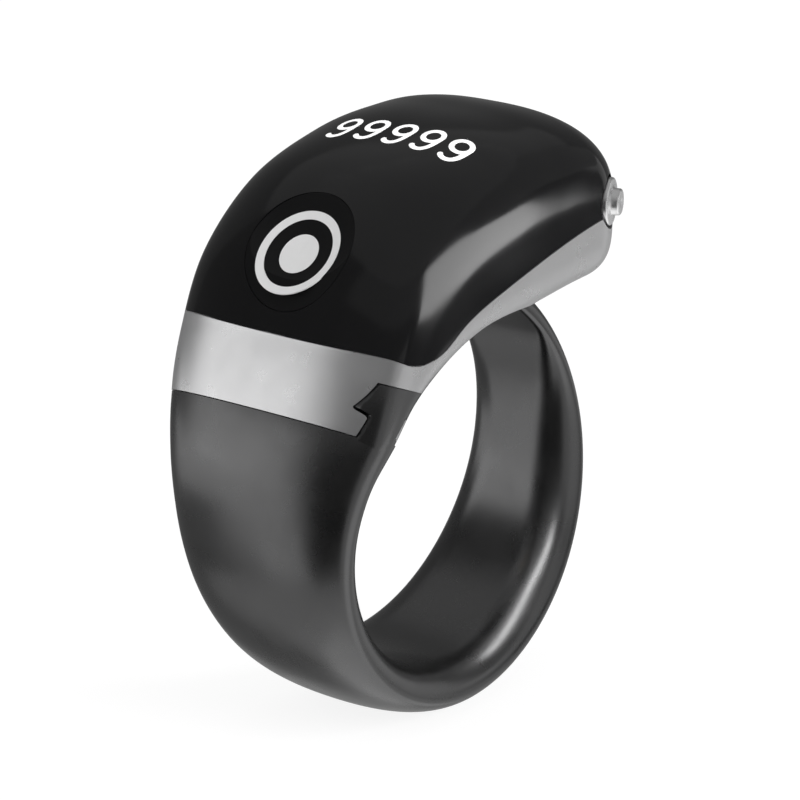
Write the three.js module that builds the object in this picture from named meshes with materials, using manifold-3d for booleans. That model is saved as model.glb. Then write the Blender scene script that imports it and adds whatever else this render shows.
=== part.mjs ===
// Digital finger tally counter, worn as a ring. Millimetres, +Z up.
// The finger runs along Y through the origin. The head sits on top: the count key faces -X,
// where the thumb reaches it, and the tail overhangs the finger towards +X.
import * as THREE from 'three';
import { mergeVertices } from 'three/addons/utils/BufferGeometryUtils.js';
import Module from 'manifold-3d';

const wasm = await Module();
wasm.setup();

// Finger and band
const FINGER_RADIUS = 10;
const SEAM_ANGLE = 150.5;           // where band and head meet on the thumb side, from +X
const SEAM_GAP = 0.04;
const BAND_END_ANGLE = 428;         // the band's other end, plugged into the tail's underside
const BAND_STATIONS = [  // angle, crown thickness, half width, edge height, inward bulge, corner
  [148, 2.6, 7.0, 0.78, 0, 0.3],
  [154, 2.48, 6.72, 0.68, 0, 0.3],
  [165, 2.29, 6.2, 0.55, 0.12, 0.8],
  [180, 1.97, 5.65, 0.5, 0.45, 1.3],
  [210, 1.67, 5.12, 0.47, 0.95, 1.9],
  [240, 1.75, 4.9, 0.47, 1.0, 2.1],
  [270, 1.74, 4.7, 0.47, 1.0, 2.2],
  [315, 1.42, 4.15, 0.47, 1.0, 2.25],
  [360, 1.38, 3.4, 0.47, 1.0, 2.2],
  [385, 1.45, 3.05, 0.36, 0.4, 1.4],
  [400, 1.5, 2.9, 0.25, 0, 0.5],
  [430, 1.4, 2.6, 0.25, 0, 0.3],
];
const BAND_POWER = 2.25;            // roundness of the band's section: 2 is an ellipse
const BAND_CORNER_STEPS = 6;        // steps of the wide corner towards the finger
const PLUG_TOP = 0.15;              // height over the finger radius where the band's end is cut level
const SEAM_OVERRUN = 3;             // degrees that cuts and the tab run past the seam
const SEAM_SECTOR = 60;             // degrees of the wedges that part head and band
const PLUG_SECTOR = 40;

// Head: rise is the crown's height over the finger hole, half is half the width
const POLAR_STATIONS = [            // angle, rise, underside, half, power, underside power
  [160, 1.9, -0.4, 6.1, 2.25, 2.6],  // inside the band, where the tab grows out of it
  [150.5, 2.55, -1.0, 6.88, 2.25, 2.6],
  [136.4, 3.6, -1.1, 7.25, 2.5, 2.8],
  [121, 5.7, -1.2, 7.4, 2.6, 4.0],
  [105, 7.3, -1.2, 7.5, 2.6, 4.7],
  [90, 8.24, -1.2, 7.57, 2.6, 4.7],
];
const TAIL_STATIONS = [             // x in finger radii, rise, underside, half, power, underside power
  [0.35, 8.6, -0.65, 7.57, 2.6, 4.7],
  [0.65, 8.42, -0.25, 7.57, 2.6, 4.7],
  [1.165, 7.04, 0.25, 7.57, 2.6, 4.7],
];
const TAIL_MID_RISE = 3.0;          // height of the tail's tip over the finger hole
const TAIL_PLAN_POWER = 1.7;
const TAIL_SIDE_POWER = 2.2;
const WALL = 1.1;                   // cover and housing walls
const ARCH_WALL = 1.0;              // housing wall over the finger
const CAVITY_ANGLE = 131.5;         // the head is solid beyond this, round the band's tab

// Split line between cover and housing: x in finger radii, and height over the finger hole
const SPLIT_LINE = [
  [-1.6, 0.1], [-0.99, -0.25], [-0.8, -0.9], [-0.69, -1.0], [-0.56, -0.7], [-0.39, 0.4],
  [-0.17, 1.27], [0.15, 2.27], [0.47, 3.1], [0.72, 3.55], [0.96, 3.8], [1.6, 4.1],
];
const SPLIT_STEPS = 22;
const SEAL_DEPTH = 0.4;             // seal's distance in from the outside
const SEAL_THICKNESS = 0.35;
const SEAL_HEIGHT = 0.4;

// Band's tab in the housing, as radius over the finger hole and angle
const TAB_ROOT = [1.75, 150.5];
const TAB_THROAT = [1.95, 145.0];
const TAB_BARB = [2.33, 144.2];
const TAB_SHOULDER = [2.48, 138.1];
const TAB_TOP_ANGLE = 132.4;        // where the tab's top edge meets the finger hole
const TAB_BLIND_WALL = 2.6;         // wall that closes the slot on the far side
const TONGUE_ANGLES = [141.8, 147.4];
const TONGUE_THICKNESS = 0.5;
const SNAP_PLAY = 0.05;             // clearance round the tab, the plug and the tongue

// Count key
const COUNT_KEY_ANGLE = 120.1;      // where its axis meets the crown
const COUNT_KEY_TILT = 137;         // direction of its axis in the XZ plane
const COUNT_KEY_RADIUS = 3.1;
const COUNT_KEY_SKIRT = 1.35;       // depth of the cap above its lugs
const COUNT_KEY_DISH = 0.3;
const COUNT_KEY_LEVEL = 0.12;       // how far the dish's rim lies under the crown
const DISH_SHARES = [0, 0.25, 0.5, 0.75, 1, 1.3];
const KEY_OVERRUN = 3;              // how far key cutters stand out of the surface
const SKIRT_STEP = 0.6;             // the skirt under the cap is this much slimmer
const HOLE_MARGIN = 0.6;            // depth of the key's hole under the lugs
const KEY_SEGMENTS = 36;
const COUNT_KEY_TRAVEL = 0.35;
const LUG_REACH = 0.65;
const LUG_HALF_WIDTH = 1.7;
const LUG_THICKNESS = 0.5;
const LUG_OVERLAP = 0.2;
const RIB_THICKNESS = 0.7;          // ribs of the cover that carry the key board
const RIB_HALF_LENGTH = 2.2;
const RIB_TOP = -0.4;
const KEY_PLAY = 0.1;               // radial clearance of both keys
const STOP_PLAY = 0.05;             // clearance at a key's stops

// Side key, on the near corner of the tail
const SIDE_KEY_X = 0.76;            // in finger radii
const SIDE_KEY_Y = -7.15;
const SIDE_KEY_TURN = -66;          // direction of its axis in plan, from +X
const SIDE_KEY_RADIUS = 1.22;
const SIDE_KEY_RIM = 0.42;
const SIDE_KEY_PROUD = 0.12;        // how far the rim stands out of its seat
const SIDE_KEY_BOSS_RADIUS = 0.68;
const SIDE_KEY_BOSS = 0.44;
const SIDE_KEY_DIMPLE = 0.14;
const SEAT_PLAY = 0.16;             // clearance of the rim in its seat
const SIDE_KEY_TRAVEL = 0.3;
const EDGE_ROUND = 0.12;
const STEM_RADIUS = 0.45;
const STEM_LENGTH = 1.7;
const STEM_TIP = 0.35;              // stem below the clip
const BORE_MARGIN = 0.2;            // bore past the stem's end
const CLIP_RADIUS = 0.85;
const CLIP_THICKNESS = 0.15;

// Electronics
const MOTOR_RADIUS = 2.6;
const MOTOR_THICKNESS = 1.4;
const MOTOR_PAD = 0.3;              // adhesive between motor and housing
const MOTOR_X = 1.0;
const MOTOR_EDGE = 0.12;
const BOARD_THICKNESS = 0.6;
const BOARD_X = [-2.4, 4.4];
const BOARD_HALF_WIDTH = 6.0;
const BOARD_EAR_X = 7.5;
const BOARD_EAR_Y = -4.3;
const EAR_OVERLAP = 1.0;
const CONTROLLER = [3.6, 3.6, 0.8];
const CONTROLLER_PLACE = [0.2, 1.6];
const CHARGER = [2.0, 2.0, 0.6];
const CHARGER_PLACE = [0.9, -2.2];
const CRYSTAL = [1.2, 2.0, 0.5];
const CRYSTAL_PLACE = [-1.2, -3.2];
const POST_RADIUS = 0.75;
const POST_X = [-1.5, 3.5];
const POST_EDGE = 0.8;              // from the board's edge to a post's middle
const POST_ROOT = 0.8;              // where the posts start, in finger radii
const SCREW_RADIUS = 0.35;
const SCREW_HEAD_RADIUS = 0.65;
const SCREW_HEAD = 0.35;
const SCREW_CHAMFER = 0.15;
const SCREW_LENGTH = 1.3;
const SCREW_MARGIN = 0.1;
const BATTERY_X = [4.95, 9.0];
const BATTERY_Y = [-3.4, 4.1];
const BATTERY_Z = [1.45, 5.4];      // over the finger hole
const BATTERY_CORNER = 0.6;
const BATTERY_TAB_Y = [-3.0, 3.2];
const BATTERY_TAB = [0.7, 0.8, 0.15];   // overlap on the board, width, thickness
const DISPLAY = [5.0, 9.2, 0.9];
const DISPLAY_X = -0.3;
const DISPLAY_TILT = 9;
const DISPLAY_DROP = 1.2;           // gap between the cover's inside and the panel's middle
const CARRIER_RIM = 0.4;
const CARRIER_LEDGE = 0.4;
const CARRIER_LIP = 0.6;            // share of the panel's thickness that stands free of its frame
const SCREW_ROOM = 0.15;
const SWITCH = [3.2, 3.2, 0.85];
const SWITCH_FLOOR = 0.2;
const PLUNGER_RADIUS = 0.75;
const SIDE_SWITCH = [2.2, 0.85, 1.1];
const SIDE_PLUNGER_RADIUS = 0.3;
const KEY_BOARD = [6.0, 9.2, 0.5];
const CONTACT_ANGLE = 112;
const CONTACT_Y = 1.7;
const CONTACT_RADIUS = 0.35;
const CONTACT_PAD_RADIUS = 0.75;
const CONTACT_PAD = 0.25;
const CONTACT_LENGTH = 1.8;
const CONTACT_SETBACK = 0.12;       // pads lie this far behind the arch's surface
const CONTACT_PLAY = 0.02;
const CONTACT_OVERRUN = 0.6;
const FLEX_THICKNESS = 0.12;
const CABLE_HALF_WIDTH = 1.8;
const KEY_CABLE_HALF_WIDTH = 1.4;
const CABLE_ROOM = 0.2;
const CABLE_GATE = 0.7;             // height of the carrier's opening for the cable
const DISPLAY_BEND = [[0.04, 0.3], [0.75, 0.42], [1.25, 1.1]];  // past the panel, down in thicknesses
const DISPLAY_LANDING = [[0.5, 0.35], [0.85, 0], [1.2, 0]];     // in from the board's edge, up
const DISPLAY_SWING = 0.35;
const KEY_BEND = [[1.0, 0], [0.6, 0], [0.2, 0.12]];             // in from the key board's edge, down
const KEY_LANDING = [[-0.5, 0.1], [0.1, 0], [0.5, 0]];          // in from the main board's edge, down
const SEAT_GAP = 0.04;              // solder and glue lines

const INNER_LOFT = [11, 5, 20];     // rings, rings of the nose, points a ring
const FINEST = 0.004;               // slivers thinner than this are closed up after the cuts
const FAR = 40;
const DEG = Math.PI / 180;

// Booleans

function solid(geometry) {
  const bare = geometry.index ? geometry.clone() : geometry;
  bare.deleteAttribute('normal');
  bare.deleteAttribute('uv');
  const merged = mergeVertices(bare, 1e-4);
  return new wasm.Manifold(new wasm.Mesh({
    numProp: 3,
    vertProperties: new Float32Array(merged.attributes.position.array),
    triVerts: new Uint32Array(merged.index.array),
  }));
}

function geometryOf(body) {
  const mesh = body.simplify(FINEST).getMesh();
  const geometry = new THREE.BufferGeometry();
  geometry.setAttribute('position', new THREE.BufferAttribute(mesh.vertProperties.slice(), 3));
  geometry.setIndex(new THREE.BufferAttribute(mesh.triVerts.slice(), 1));
  geometry.computeVertexNormals();
  return geometry;
}

// Basic solids

function box(low, high) {
  const size = high.map((v, i) => v - low[i]);
  const middle = high.map((v, i) => (v + low[i]) / 2);
  return solid(new THREE.BoxGeometry(...size).translate(...middle));
}

function turned(profile, segments = 40) {
  const points = profile.map(([r, z]) => new THREE.Vector2(r, z));
  return solid(new THREE.LatheGeometry(points, segments).rotateX(Math.PI / 2));
}

function disc(radius, low, high, segments = 40) {
  return turned([[0, low], [radius, low], [radius, high], [0, high]], segments);
}

// A prism along Y from an outline of x, z points
function prism(outline, low, high) {
  const shape = new THREE.Shape(outline.map(([x, z]) => new THREE.Vector2(x, z)));
  const geometry = new THREE.ExtrudeGeometry(shape, { depth: high - low, bevelEnabled: false });
  return solid(geometry.rotateX(Math.PI / 2).translate(0, high, 0));
}

function polar(radius, angle) {
  return [radius * Math.cos(angle * DEG), radius * Math.sin(angle * DEG)];
}

// A flat strip of flex cable: its path in x, z, and its half width along Y
function flexStrip(path, halfWidth) {
  const curve = new THREE.SplineCurve(path.map(([x, z]) => new THREE.Vector2(x, z)));
  const middle = curve.getPoints(16);
  const sides = [-1, 1].map((side) => middle.map((point, i) => {
    const along = curve.getTangent(i / 16);
    const offset = side * FLEX_THICKNESS / 2;
    return [point.x - along.y * offset, point.y + along.x * offset];
  }));
  return prism([...sides[0], ...sides[1].reverse()], -halfWidth, halfWidth);
}

// Lofts: closed rings of points, closed by a fan at each end
function loft(rings) {
  const count = rings[0].length;
  const points = rings.flat();
  const faces = [];
  for (let i = 0; i < rings.length - 1; i += 1) {
    for (let j = 0; j < count; j += 1) {
      const a = i * count + j;
      const b = i * count + (j + 1) % count;
      faces.push(a, b, a + count, b, b + count, a + count);
    }
  }
  [[rings[0], 0, true], [rings.at(-1), points.length - count, false]].forEach(([ring, first, start]) => {
    const centre = new THREE.Vector3();
    ring.forEach((point) => centre.add(point));
    points.push(centre.divideScalar(count));
    const middle = points.length - 1;
    for (let j = 0; j < count; j += 1) {
      const pair = [first + j, first + (j + 1) % count];
      faces.push(middle, start ? pair[1] : pair[0], start ? pair[0] : pair[1]);
    }
  });
  const geometry = new THREE.BufferGeometry().setFromPoints(points);
  geometry.setIndex(faces);
  return solid(geometry);
}

function interpolant(rows) {
  const size = rows[0].length - 1;
  const keys = rows.map((row) => row[0]);
  return new THREE.CubicInterpolant(keys, rows.flatMap((row) => row.slice(1)), size);
}

function signedPower(value, power) {
  return Math.sign(value) * Math.abs(value) ** power;
}

// Head

const headRows = [
  ...POLAR_STATIONS.map(([angle, rise, under, ...shape], i) => [
    i, ...polar(FINGER_RADIUS + rise, angle), ...polar(FINGER_RADIUS + under, angle), ...shape,
  ]),
  ...TAIL_STATIONS.map(([x, rise, under, ...shape], i) => [
    i + POLAR_STATIONS.length, x * FINGER_RADIUS, FINGER_RADIUS + rise,
    x * FINGER_RADIUS, FINGER_RADIUS + under, ...shape,
  ]),
];
const headCurve = interpolant(headRows);
const NOSE_START = headRows.length - 2;
const NOSE_END = headRows.length - 1;

function headSection(u, inset) {
  const [crownX, crownZ, underX, underZ, half, power, underPower] = headCurve.evaluate(u);
  const section = {
    crown: new THREE.Vector2(crownX, crownZ),
    under: new THREE.Vector2(underX, underZ),
    half: half - inset,
    power,
    underPower,
  };
  if (u > NOSE_START) {
    const startX = headRows[NOSE_START][1];
    const tipX = headRows[NOSE_END][1];
    const t = (crownX - startX) / (tipX - startX);
    const middle = FINGER_RADIUS + TAIL_MID_RISE;
    const side = (1 - Math.min(t, 1) ** TAIL_SIDE_POWER) ** (1 / TAIL_SIDE_POWER);
    const plan = (1 - Math.min(t, 1) ** TAIL_PLAN_POWER) ** (1 / TAIL_PLAN_POWER);
    const reach = t * (tipX - inset - startX) + startX;
    section.crown.set(reach, middle + (crownZ - inset - middle) * side);
    section.under.set(reach, middle + (underZ + inset - middle) * side);
    section.half = (half - inset) * plan;
  } else {
    const across = section.crown.clone().sub(section.under).setLength(inset);
    section.crown.sub(across);
    section.under.add(across);
  }
  return section;
}

function headRing(u, inset, count) {
  const { crown, under, half, power, underPower } = headSection(u, inset);
  const middle = crown.clone().add(under).divideScalar(2);
  const reach = crown.clone().sub(under).divideScalar(2);
  const ring = [];
  for (let j = 0; j < count; j += 1) {
    const angle = 2 * Math.PI * j / count;
    const rounding = Math.sin(angle) >= 0 ? power : underPower;
    const up = signedPower(Math.sin(angle), 2 / rounding);
    const across = signedPower(Math.cos(angle), 2 / rounding);
    ring.push(new THREE.Vector3(middle.x + reach.x * up, half * across, middle.y + reach.y * up));
  }
  return ring;
}

function headLoft(inset, rings = 18, noseRings = 8, count = 32) {
  const stations = [];
  for (let i = 0; i <= rings; i += 1) stations.push(NOSE_START * i / rings);
  for (let i = 1; i < noseRings; i += 1) {
    stations.push(NOSE_START + Math.sin(i / noseRings * Math.PI / 2) * (NOSE_END - NOSE_START));
  }
  stations.push(NOSE_END - 0.002);
  return loft(stations.map((u) => headRing(u, inset, count)));
}

function splitHeight() {
  const points = SPLIT_LINE.map(([x, z]) => new THREE.Vector2(x * FINGER_RADIUS, FINGER_RADIUS + z));
  return new THREE.SplineCurve(points).getPoints(SPLIT_STEPS).map((point) => [point.x, point.y]);
}

const splitLine = splitHeight();
const belowSplit = prism([...splitLine, [FAR, -FAR], [-FAR, -FAR]], -FAR, FAR);
const sealSlab = prism([
  ...splitLine.map(([x, z]) => [x, z + SEAL_HEIGHT / 2]),
  ...splitLine.map(([x, z]) => [x, z - SEAL_HEIGHT / 2]).reverse(),
], -FAR, FAR);
const fingerHole = solid(new THREE.CylinderGeometry(FINGER_RADIUS, FINGER_RADIUS, FAR, 64));
const archCut = solid(new THREE.CylinderGeometry(
  FINGER_RADIUS + ARCH_WALL, FINGER_RADIUS + ARCH_WALL, FAR, 48,
));

// A prism of the XZ plane between two angles, out to a far radius
function wedge(from, to, steps = 6) {
  const outline = [[0, 0]];
  for (let i = 0; i <= steps; i += 1) outline.push(polar(FAR, from + (to - from) * i / steps));
  return prism(outline, -FAR, FAR);
}

function cavity(inset) {
  const solidEnd = wedge(CAVITY_ANGLE, CAVITY_ANGLE + SEAM_SECTOR);
  return headLoft(inset, ...INNER_LOFT).subtract(archCut).subtract(solidEnd);
}

const headOuter = headLoft(0);
const headInside = cavity(WALL);
const headFit = cavity(WALL + SNAP_PLAY);

// Band

const bandCurve = interpolant(BAND_STATIONS);

// One ring of the band: a domed outside, and an inside that bulges towards the finger
function bandRing(angle, grow) {
  const [thickness, half, edge, inward, corner] = bandCurve.evaluate(angle);
  const bulge = Math.max(inward, 0);
  const section = [];
  const steps = 12;
  for (let i = 0; i <= steps; i += 1) {
    const turn = Math.PI * (1 - i / steps);
    const across = signedPower(Math.cos(turn), 2 / BAND_POWER);
    const up = signedPower(Math.sin(turn), 2 / BAND_POWER);
    section.push([(half + grow) * across, edge + (thickness + grow - edge) * up]);
  }
  [1, -1].forEach((side) => {
    const round = [...Array(BAND_CORNER_STEPS).keys()].map((i) => {
      const turn = (i + 1) / BAND_CORNER_STEPS * Math.PI / 2;
      const y = half + grow - corner * (1 - Math.cos(turn));
      return [side * y, edge - (edge + bulge + grow) * Math.sin(turn)];
    });
    section.push(...(side > 0 ? round : round.reverse()));
  });
  return section.map(([y, rise]) => {
    const [x, z] = polar(FINGER_RADIUS + rise, angle);
    return new THREE.Vector3(x, y, z);
  });
}

function bandLoft(from, to, grow, rings) {
  const angles = [];
  for (let i = 0; i <= rings; i += 1) angles.push(from + (to - from) * i / rings);
  return loft(angles.map((angle) => bandRing(angle, grow)));
}

function tabOutline(grow) {
  const turn = (angle, radius) => angle - grow / (FINGER_RADIUS + radius) / DEG;
  return [
    polar(FINGER_RADIUS - KEY_OVERRUN, SEAM_ANGLE + SEAM_OVERRUN),
    polar(FINGER_RADIUS + TAB_ROOT[0] + grow, SEAM_ANGLE + SEAM_OVERRUN),
    polar(FINGER_RADIUS + TAB_THROAT[0] + grow, TAB_THROAT[1] + grow / FINGER_RADIUS / DEG),
    polar(FINGER_RADIUS + TAB_BARB[0] + grow, TAB_BARB[1] + grow / FINGER_RADIUS / DEG),
    polar(FINGER_RADIUS + TAB_SHOULDER[0] + grow, turn(TAB_SHOULDER[1], TAB_SHOULDER[0])),
    polar(FINGER_RADIUS - grow, turn(TAB_TOP_ANGLE, 0)),
    polar(FINGER_RADIUS - KEY_OVERRUN, turn(TAB_TOP_ANGLE, 0)),
  ];
}

function tongue(grow) {
  const [start, end] = TONGUE_ANGLES;
  const turn = grow / FINGER_RADIUS / DEG;
  const top = FINGER_RADIUS + TONGUE_THICKNESS + grow;
  const low = FINGER_RADIUS - KEY_OVERRUN;
  const outline = [start - turn, (start + end) / 2, end + turn].map((angle) => polar(top, angle));
  outline.push(polar(low, end + turn), polar(low, start - turn));
  return prism(outline, -FAR, FAR);
}

const headSide = wedge(SEAM_ANGLE - SEAM_SECTOR, SEAM_ANGLE);
const bandSide = wedge(SEAM_ANGLE - SEAM_GAP / FINGER_RADIUS / DEG, SEAM_ANGLE + SEAM_SECTOR);
const tabReach = POLAR_STATIONS[1][3] - TAB_BLIND_WALL;
const tab = prism(tabOutline(0), -FAR, tabReach)
  .intersect(headOuter).subtract(fingerHole).subtract(tongue(SNAP_PLAY));
const plugTop = box([-FAR, -FAR, -FAR], [FAR, FAR, FINGER_RADIUS + PLUG_TOP]);
const bandBody = bandLoft(SEAM_ANGLE - SEAM_OVERRUN / 2, BAND_END_ANGLE, 0, 48).intersect(
  plugTop.add(wedge(SEAM_ANGLE - SEAM_OVERRUN, SEAM_ANGLE + SEAM_SECTOR)),
);
const band = bandBody.subtract(headSide.subtract(prism(tabOutline(0), -FAR, tabReach)))
  .subtract(tongue(SNAP_PLAY)).add(tab);

// Key frames: origin on the outer surface, Z along the key's axis pointing outwards

function frameAt(origin, axis, side) {
  const across = new THREE.Vector3().crossVectors(side, axis).normalize();
  const frame = new THREE.Matrix4().makeBasis(across, side, axis);
  return frame.setPosition(origin);
}

function crownPoint(angle) {
  const steps = 400;
  const u = [...Array(steps + 1).keys()].map((i) => i / steps * NOSE_START).find((value) => {
    const [x, z] = headCurve.evaluate(value);
    return Math.atan2(z, x) / DEG <= angle;
  });
  const [x, z] = headCurve.evaluate(u);
  return new THREE.Vector3(x, 0, z);
}

const countAxis = new THREE.Vector3(Math.cos(COUNT_KEY_TILT * DEG), 0, Math.sin(COUNT_KEY_TILT * DEG));
const countFrame = frameAt(crownPoint(COUNT_KEY_ANGLE), countAxis, new THREE.Vector3(0, 1, 0));

const archTop = FINGER_RADIUS + ARCH_WALL;
const boardLow = archTop + MOTOR_PAD + MOTOR_THICKNESS + MOTOR_PAD;
const boardTop = boardLow + BOARD_THICKNESS;
const sideKeyZ = boardTop + SEAT_GAP + SIDE_SWITCH[1] / 2;
const sideAxis = new THREE.Vector3(Math.cos(SIDE_KEY_TURN * DEG), Math.sin(SIDE_KEY_TURN * DEG), 0);
const sideFrame = frameAt(
  new THREE.Vector3(SIDE_KEY_X * FINGER_RADIUS, SIDE_KEY_Y, sideKeyZ), sideAxis, new THREE.Vector3(0, 0, 1),
);

function into(body, frame) {
  return body.transform(frame.clone().invert().elements);
}

function from(body, frame) {
  return body.transform(frame.elements);
}

// Count key parts, in the count key's frame

const lugTop = -COUNT_KEY_SKIRT;
const lugLow = lugTop - LUG_THICKNESS;
const lugRadius = COUNT_KEY_RADIUS + LUG_REACH;
const switchTop = lugLow - COUNT_KEY_TRAVEL - STOP_PLAY;
const keyBoardTop = switchTop - SWITCH[2];
const keyBoardLow = keyBoardTop - KEY_BOARD[2];

function countKeyCap() {
  const dishProfile = DISH_SHARES.map((share) => [
    share * COUNT_KEY_RADIUS, COUNT_KEY_DISH * (share ** 2 - 1) - COUNT_KEY_LEVEL,
  ]);
  const dishEdge = DISH_SHARES.at(-1) * COUNT_KEY_RADIUS;
  const dish = turned([...dishProfile, [dishEdge, KEY_OVERRUN], [0, KEY_OVERRUN]], KEY_SEGMENTS);
  const cap = disc(COUNT_KEY_RADIUS, lugTop - LUG_OVERLAP, KEY_OVERRUN, KEY_SEGMENTS)
    .intersect(into(headOuter, countFrame));
  const lugs = disc(lugRadius, lugLow, lugTop, KEY_SEGMENTS)
    .intersect(box([-LUG_HALF_WIDTH, -FAR, lugLow], [LUG_HALF_WIDTH, FAR, lugTop]));
  const skirt = disc(COUNT_KEY_RADIUS - SKIRT_STEP, lugLow, lugTop, KEY_SEGMENTS);
  return cap.subtract(dish).add(skirt).add(lugs);
}

function countKeyHole() {
  const hole = disc(COUNT_KEY_RADIUS + KEY_PLAY, lugLow - HOLE_MARGIN, KEY_OVERRUN, KEY_SEGMENTS);
  const roomLow = lugLow - COUNT_KEY_TRAVEL - STOP_PLAY;
  const roomTop = lugTop + STOP_PLAY;
  const halfRoom = LUG_HALF_WIDTH + KEY_PLAY;
  const lugRoom = disc(lugRadius + KEY_PLAY, roomLow, roomTop, KEY_SEGMENTS)
    .intersect(box([-halfRoom, -FAR, roomLow], [halfRoom, FAR, roomTop]));
  return hole.add(lugRoom);
}

// Two ribs of the cover carry the key board beside the lugs
function keyBoardRibs() {
  const inner = lugRadius + 2 * KEY_PLAY;
  const ribs = [-1, 1].map((side) => box(
    [-RIB_HALF_LENGTH, Math.min(side * inner, side * (inner + RIB_THICKNESS)), keyBoardTop],
    [RIB_HALF_LENGTH, Math.max(side * inner, side * (inner + RIB_THICKNESS)), RIB_TOP],
  ));
  return ribs[0].add(ribs[1]);
}

function countSwitchBody() {
  const [x, y] = SWITCH;
  const shell = box([-x / 2, -y / 2, keyBoardTop], [x / 2, y / 2, switchTop]);
  return shell.subtract(disc(PLUNGER_RADIUS + KEY_PLAY, keyBoardTop + SWITCH_FLOOR, 0, 28));
}

const countPlungerLow = keyBoardTop + SWITCH_FLOOR + COUNT_KEY_TRAVEL + STOP_PLAY;
const keyBoard = from(box(
  [-KEY_BOARD[0] / 2, -KEY_BOARD[1] / 2, keyBoardLow], [KEY_BOARD[0] / 2, KEY_BOARD[1] / 2, keyBoardTop],
), countFrame).intersect(headFit);

// Side key parts, in the side key's frame

const rimLow = SIDE_KEY_PROUD - SIDE_KEY_RIM;
const recessDepth = -rimLow + SIDE_KEY_TRAVEL + STOP_PLAY;
const stemEnd = rimLow - STEM_LENGTH;
const clipTop = stemEnd + STEM_TIP;
const sideSwitchTop = stemEnd - SIDE_KEY_TRAVEL - STOP_PLAY;
const sideSwitchLow = sideSwitchTop - SIDE_SWITCH[2];

function sideKeyBody() {
  const rimTop = rimLow + SIDE_KEY_RIM;
  const bossTop = rimTop + SIDE_KEY_BOSS;
  return turned([
    [0, stemEnd],
    [STEM_RADIUS, stemEnd],
    [STEM_RADIUS, rimLow],
    [SIDE_KEY_RADIUS, rimLow],
    [SIDE_KEY_RADIUS, rimTop - EDGE_ROUND],
    [SIDE_KEY_RADIUS - EDGE_ROUND, rimTop],
    [SIDE_KEY_BOSS_RADIUS, rimTop],
    [SIDE_KEY_BOSS_RADIUS, bossTop - EDGE_ROUND],
    [SIDE_KEY_BOSS_RADIUS - EDGE_ROUND, bossTop],
    [SIDE_KEY_DIMPLE, bossTop],
    [0, bossTop - SIDE_KEY_DIMPLE],
  ], 32);
}

function sideKeyCut() {
  const recess = disc(SIDE_KEY_RADIUS + SEAT_PLAY, -recessDepth, KEY_OVERRUN, 32);
  return recess.add(disc(STEM_RADIUS + KEY_PLAY / 2, stemEnd - BORE_MARGIN, 0, 28));
}

function sideSwitchBody() {
  const [x, y] = SIDE_SWITCH;
  const shell = box([-x / 2, -y / 2, sideSwitchLow], [x / 2, y / 2, sideSwitchTop]);
  return shell.subtract(disc(SIDE_PLUNGER_RADIUS + KEY_PLAY / 2, sideSwitchLow + SWITCH_FLOOR, 0, 20));
}

const sidePlungerLow = sideSwitchLow + SWITCH_FLOOR + SIDE_KEY_TRAVEL + STOP_PLAY;

// Main board, its posts and screws

function boardBody() {
  const main = box([BOARD_X[0], -BOARD_HALF_WIDTH, boardLow], [BOARD_X[1], BOARD_HALF_WIDTH, boardTop]);
  const ear = box(
    [BOARD_X[1] - EAR_OVERLAP, -BOARD_HALF_WIDTH, boardLow], [BOARD_EAR_X, BOARD_EAR_Y, boardTop],
  );
  let board = main.add(ear).intersect(headFit);
  screwPlaces.forEach(([x, y]) => {
    board = board.subtract(disc(SCREW_RADIUS + SEAT_GAP, 0, FAR, 20).translate(x, y, 0));
  });
  return board.subtract(from(box([-FAR, -FAR, sideSwitchTop + SEAT_GAP], [FAR, FAR, FAR]), sideFrame));
}

const postY = BOARD_HALF_WIDTH - POST_EDGE;
const screwPlaces = POST_X.flatMap((x) => [[x, -postY], [x, postY]]);

function posts() {
  const root = FINGER_RADIUS * POST_ROOT;
  const bodies = screwPlaces.map(([x, y]) => disc(POST_RADIUS, root, boardLow, 24).translate(x, y, 0));
  const joined = bodies.reduce((sum, body) => sum.add(body));
  return joined.intersect(headLoft(WALL / 2, ...INNER_LOFT)).subtract(fingerHole);
}

function screwHoles() {
  const depth = boardTop - SCREW_LENGTH - SCREW_MARGIN;
  return screwPlaces.map(([x, y]) => disc(SCREW_RADIUS + SEAT_GAP, depth, boardTop, 20).translate(x, y, 0))
    .reduce((sum, body) => sum.add(body));
}

function screw([x, y]) {
  return turned([
    [0, boardTop - SCREW_LENGTH],
    [SCREW_RADIUS, boardTop - SCREW_LENGTH],
    [SCREW_RADIUS, boardTop],
    [SCREW_HEAD_RADIUS, boardTop],
    [SCREW_HEAD_RADIUS, boardTop + SCREW_HEAD - SCREW_CHAMFER],
    [SCREW_HEAD_RADIUS - SCREW_CHAMFER, boardTop + SCREW_HEAD],
    [0, boardTop + SCREW_HEAD],
  ], 16).translate(x, y, 0);
}

function chip([x, y, z], [middleX, middleY]) {
  const low = boardTop + SEAT_GAP;
  return box([middleX - x / 2, middleY - y / 2, low], [middleX + x / 2, middleY + y / 2, low + z]);
}

// Charge contacts through the arch over the finger

function contact(side, grow) {
  const pad = CONTACT_PAD + grow;
  const face = grow > 0 ? -CONTACT_OVERRUN : 0;
  return turned([
    [0, face],
    [CONTACT_PAD_RADIUS + grow, face],
    [CONTACT_PAD_RADIUS + grow, pad],
    [CONTACT_RADIUS + grow, pad],
    [CONTACT_RADIUS + grow, CONTACT_LENGTH],
    [0, CONTACT_LENGTH],
  ], 16).transform(new THREE.Matrix4().makeRotationY((90 - CONTACT_ANGLE) * DEG)
    .setPosition(...contactPlace(side)).elements);
}

function contactPlace(side) {
  const [x, z] = polar(FINGER_RADIUS + CONTACT_SETBACK, CONTACT_ANGLE);
  return [x, side * CONTACT_Y, z];
}

const contactHoles = contact(-1, CONTACT_PLAY).add(contact(1, CONTACT_PLAY));

// Housing and cover

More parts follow.
